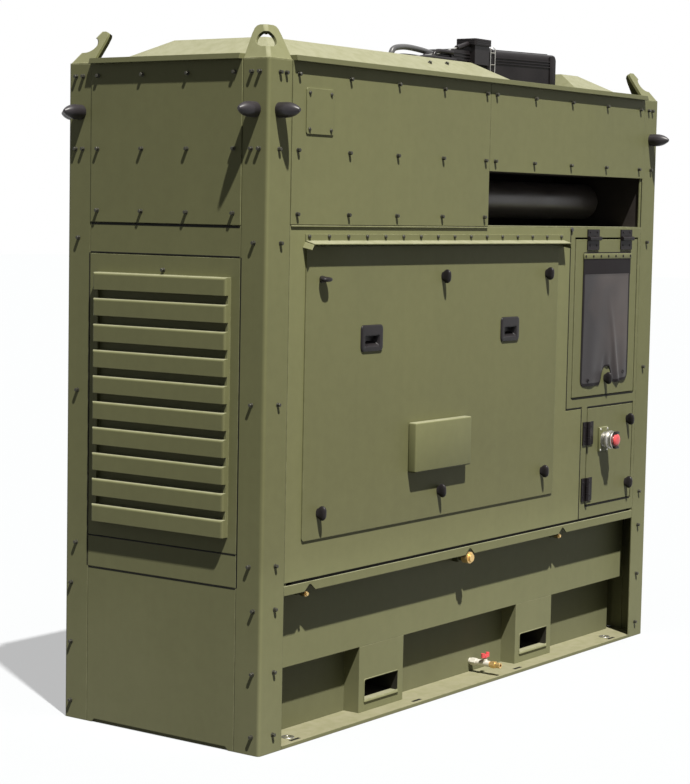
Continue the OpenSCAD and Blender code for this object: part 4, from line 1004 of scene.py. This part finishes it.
def fork_rim(w, h):
    rim = loft([[(x, y, z) for x, y in rounded(w + 2 * k, h + 2 * k, 5 + k, 5)] for k, z in RIM], False)
    ends = ((-w / 2 - LIP_TAPER, 0.4), (-w / 2, 1.0), (w / 2, 1.0), (w / 2 + LIP_TAPER, 0.4))
    lip = loft([[(x, y - h / 2, z * out) for y, z in LIP] for x, out in ends])
    sill = moved(soft_box(w - 1.0, SILL_T, SILL_DEEP, 0.2, 1), 0, 0.6 - h / 2, -SILL_DEEP)
    return join(rim, lip, sill)


pocket_y = box_mm(POCKETS[0])[0].y
rims = [on_face(fork_rim(POCKET_W, POCKET_H), side, x, POCKET_Z + POCKET_H / 2, -pocket_y)
        for side in SIDES for x in pocket_mids]
piece("fork_rims", join(*rims), "olive")

# Sloped left end of the right-hand raised part, run out beside the black unit
RAMP_FRONT_RUN, RAMP_RUN, RAMP_BEND_Y = 84, 34, 366
RAMP_TOP_Y = (195, 525)
raised_lo, raised_hi = box_mm("roof_right")
wall, flat_z = raised_lo.x, raised_lo.z
ramp = [(wall - RAMP_FRONT_RUN, SLOPE_Y, flat_z), (wall - RAMP_RUN, RAMP_BEND_Y, flat_z),
        (wall - RAMP_RUN, WIDTH - SLOPE_Y, flat_z), (wall, SLOPE_Y, flat_z), (wall, WIDTH - SLOPE_Y, flat_z)]
ramp += [(wall, y, raised_hi.z) for y in RAMP_TOP_Y]
ramp_faces = [(0, 1, 5), (1, 6, 5), (1, 2, 6), (0, 5, 3), (2, 4, 6), (0, 3, 4, 2, 1), (3, 5, 6, 4)]
piece("roof_ramp", (np.array(ramp, float), ramp_faces), "olive")

# Black unit on the roof: its own frame, x along the unit from its near right corner
UNIT_AT, UNIT_TURN = (1766, 163), math.radians(-15)
UNIT_LEN, UNIT_TOP = 316.0, 2012.0
NECK_Y, NECK_RIGHT = 250.8, 1452
# Loops of the ribs round the cap: (outset over both sides, height)
CAP_RIB = ((-4, 0), (3, 0.6), (3, 2.6), (-4, 3.2))


def on_unit(shape):
    c, d = math.cos(UNIT_TURN), math.sin(UNIT_TURN)
    x, y, z = shape[0].T
    return np.stack((UNIT_AT[0] + c * x - d * y, UNIT_AT[1] + d * x + c * y, z), 1), shape[1]


def bar_mm(x0, x1, y0, y1, z0, z1, r):
    return moved(soft_box(x1 - x0, y1 - y0, z1 - z0, r, 2), (x0 + x1) / 2, (y0 + y1) / 2, z0)


rib_left, rib_right = -UNIT_LEN + 34, -14
unit_ribs = [bar_mm(rib_left, rib_right, -3.0, 2.0, z, z + 4, 1.2) for z in (1966, 1975, 1984)]
unit_ribs += [bar_mm(rib_left, rib_right, y, y + 4, UNIT_TOP - 2, UNIT_TOP + 3, 1.2)
              for y in range(26, 186, 20)]
unit_ribs += [bar_mm(-UNIT_LEN - 3.5, -UNIT_LEN + 2, -4, 90, z, z + 4, 1.0)
              for z in range(1924, 2008, 11)]
neck_left = box_mm("air_cleaner")[0].x + 8
neck_ribs = [bar_mm(neck_left, NECK_RIGHT, NECK_Y - 2.5, NECK_Y + 2, z, z + 4, 1.1)
             for z in (1966, 1976, 1986)]
cap_lo, cap_hi = box_mm("air_intake")
cap_w, cap_d = cap_hi.x - cap_lo.x, cap_hi.y - cap_lo.y
cap_rib = loft([[(x, y, h) for x, y in rounded(cap_w + g, cap_d + g, 11, 5)] for g, h in CAP_RIB])
cap_ribs = [moved(cap_rib, (cap_lo.x + cap_hi.x) / 2, (cap_lo.y + cap_hi.y) / 2, z)
            for z in (2021, 2027, 2033)]
strap = [bar_mm(-30, -8, -4, 2, 1893, UNIT_TOP - 6, 1.4), bar_mm(-34, -4, -26, -2, 1891.2, 1896, 1.2)]
piece("unit_ribs", join(*map(on_unit, unit_ribs + strap), *neck_ribs, *cap_ribs), "plastic")

# Wire clamp on the unit's left end: one bent loop and two rungs
WIRE_LEFT, WIRE_RIGHT = -308, -288
WIRE = ((WIRE_LEFT, -9, 1940), (WIRE_LEFT, -10, 2012), (-298, -10, 2018), (WIRE_RIGHT, -10, 2012),
        (WIRE_RIGHT, -9, 1934), (-296, -12, 1922), (-305, -11, 1926), (WIRE_LEFT, -9, 1940))
rungs = [tube([(x, -9.5, z) for x in (WIRE_LEFT, WIRE_RIGHT)], 1.4, 8) for z in (1962, 2000)]
piece("clamp_wire", on_unit(join(tube(WIRE, 1.6, 8), *rungs)), "steel")

# Intake hose, the thin pipe with its sleeve, and the short conduits: points listed
HOSE_Y, PIPE_Y = 271, 256
HOSE = ((950, 1948), (953, 1966), (972, 1981), (1030, 1988), (1110, 1985), (1190, 1977), (1264, 1973))
PIPE = ((1046, 1958), (1130, 1969), (1240, 1990), (1310, 2008), (1364, 2022))
SLEEVE = ((1296, 2004), (1335, 2014), (1366, 2023))
CONDUITS = ((1060, 243, 1963), (1110, 262, 1975), (1000, 292, 1964), (1150, 252, 1987))
CONDUIT_END, CONDUIT_STRAIGHT, CONDUIT_FOOT = 1268, 1200, 1950
hose = eased([(x, HOSE_Y, z) for x, z in HOSE])
piece("intake_hose_run", tube(hose, 9.0, 20), "hose", stands_for=("intake_hose",))
pipe = eased([(x, PIPE_Y, z) for x, z in PIPE])
piece("intake_pipe", tube(pipe, 3.6, 12), "steel")
sleeve = tube(eased([(x, PIPE_Y, z) for x, z in SLEEVE]), 8.0, 14)
runs = [tube(eased([(CONDUIT_END, y, z), (CONDUIT_STRAIGHT, y, z), (x + 70, y, z), (x + 20, y, z - 4),
                    (x, y, CONDUIT_FOOT)]), 7.0, 12) for x, y, z in CONDUITS]
piece("roof_conduits", join(sleeve, *runs), "plastic")

# Floor and soft sky: both look pale to the camera and give little light
FLOOR_HALF, FLOOR_DROP = 40.0, 0.0005
FLOOR_LIT, FLOOR_SEEN, FLOOR_GLOW = (0.042, 0.041, 0.037, 1), (0.225, 0.235, 0.25, 1), 0.48
SKY_COLOUR, SKY_STRENGTH = (0.90, 0.96, 1.0, 1), 0.095
WHITE = (1, 1, 1, 1)


def floor():
    mesh = bpy.data.meshes.new("floor")
    s = FLOOR_HALF
    mesh.from_pydata([(-s, -s, 0), (s, -s, 0), (s, s, 0), (-s, s, 0)], [], [(0, 1, 2, 3)])
    obj = bpy.data.objects.new("floor", mesh)
    obj.location.z = -FLOOR_DROP
    scene.collection.objects.link(obj)
    mat = bpy.data.materials.new("pale_floor")
    t = Tree(mat)
    lit = t.node("ShaderNodeBsdfDiffuse", {"Color": FLOOR_LIT})
    pale = t.node("ShaderNodeBsdfDiffuse", {"Color": FLOOR_SEEN})
    glow = t.node("ShaderNodeEmission", {"Color": WHITE, "Strength": FLOOR_GLOW})
    seen = t.node("ShaderNodeAddShader", {0: pale.outputs[0], 1: glow.outputs[0]})
    shade = t.node("ShaderNodeMixShader", {0: t.backdrop_rays(), 1: lit.outputs[0], 2: seen.outputs[0]})
    t.node("ShaderNodeOutputMaterial", {"Surface": shade.outputs[0]})
    mesh.materials.append(mat)


def sky():
    world = bpy.data.worlds.new("sky")
    scene.world = world
    t = Tree(world)
    soft = t.node("ShaderNodeBackground", {"Color": SKY_COLOUR, "Strength": SKY_STRENGTH})
    white = t.node("ShaderNodeBackground", {"Color": WHITE, "Strength": 1.0})
    shade = t.node("ShaderNodeMixShader", {0: t.backdrop_rays(), 1: soft.outputs[0], 2: white.outputs[0]})
    t.node("ShaderNodeOutputWorld", {"Surface": shade.outputs[0]})


floor()
sky()
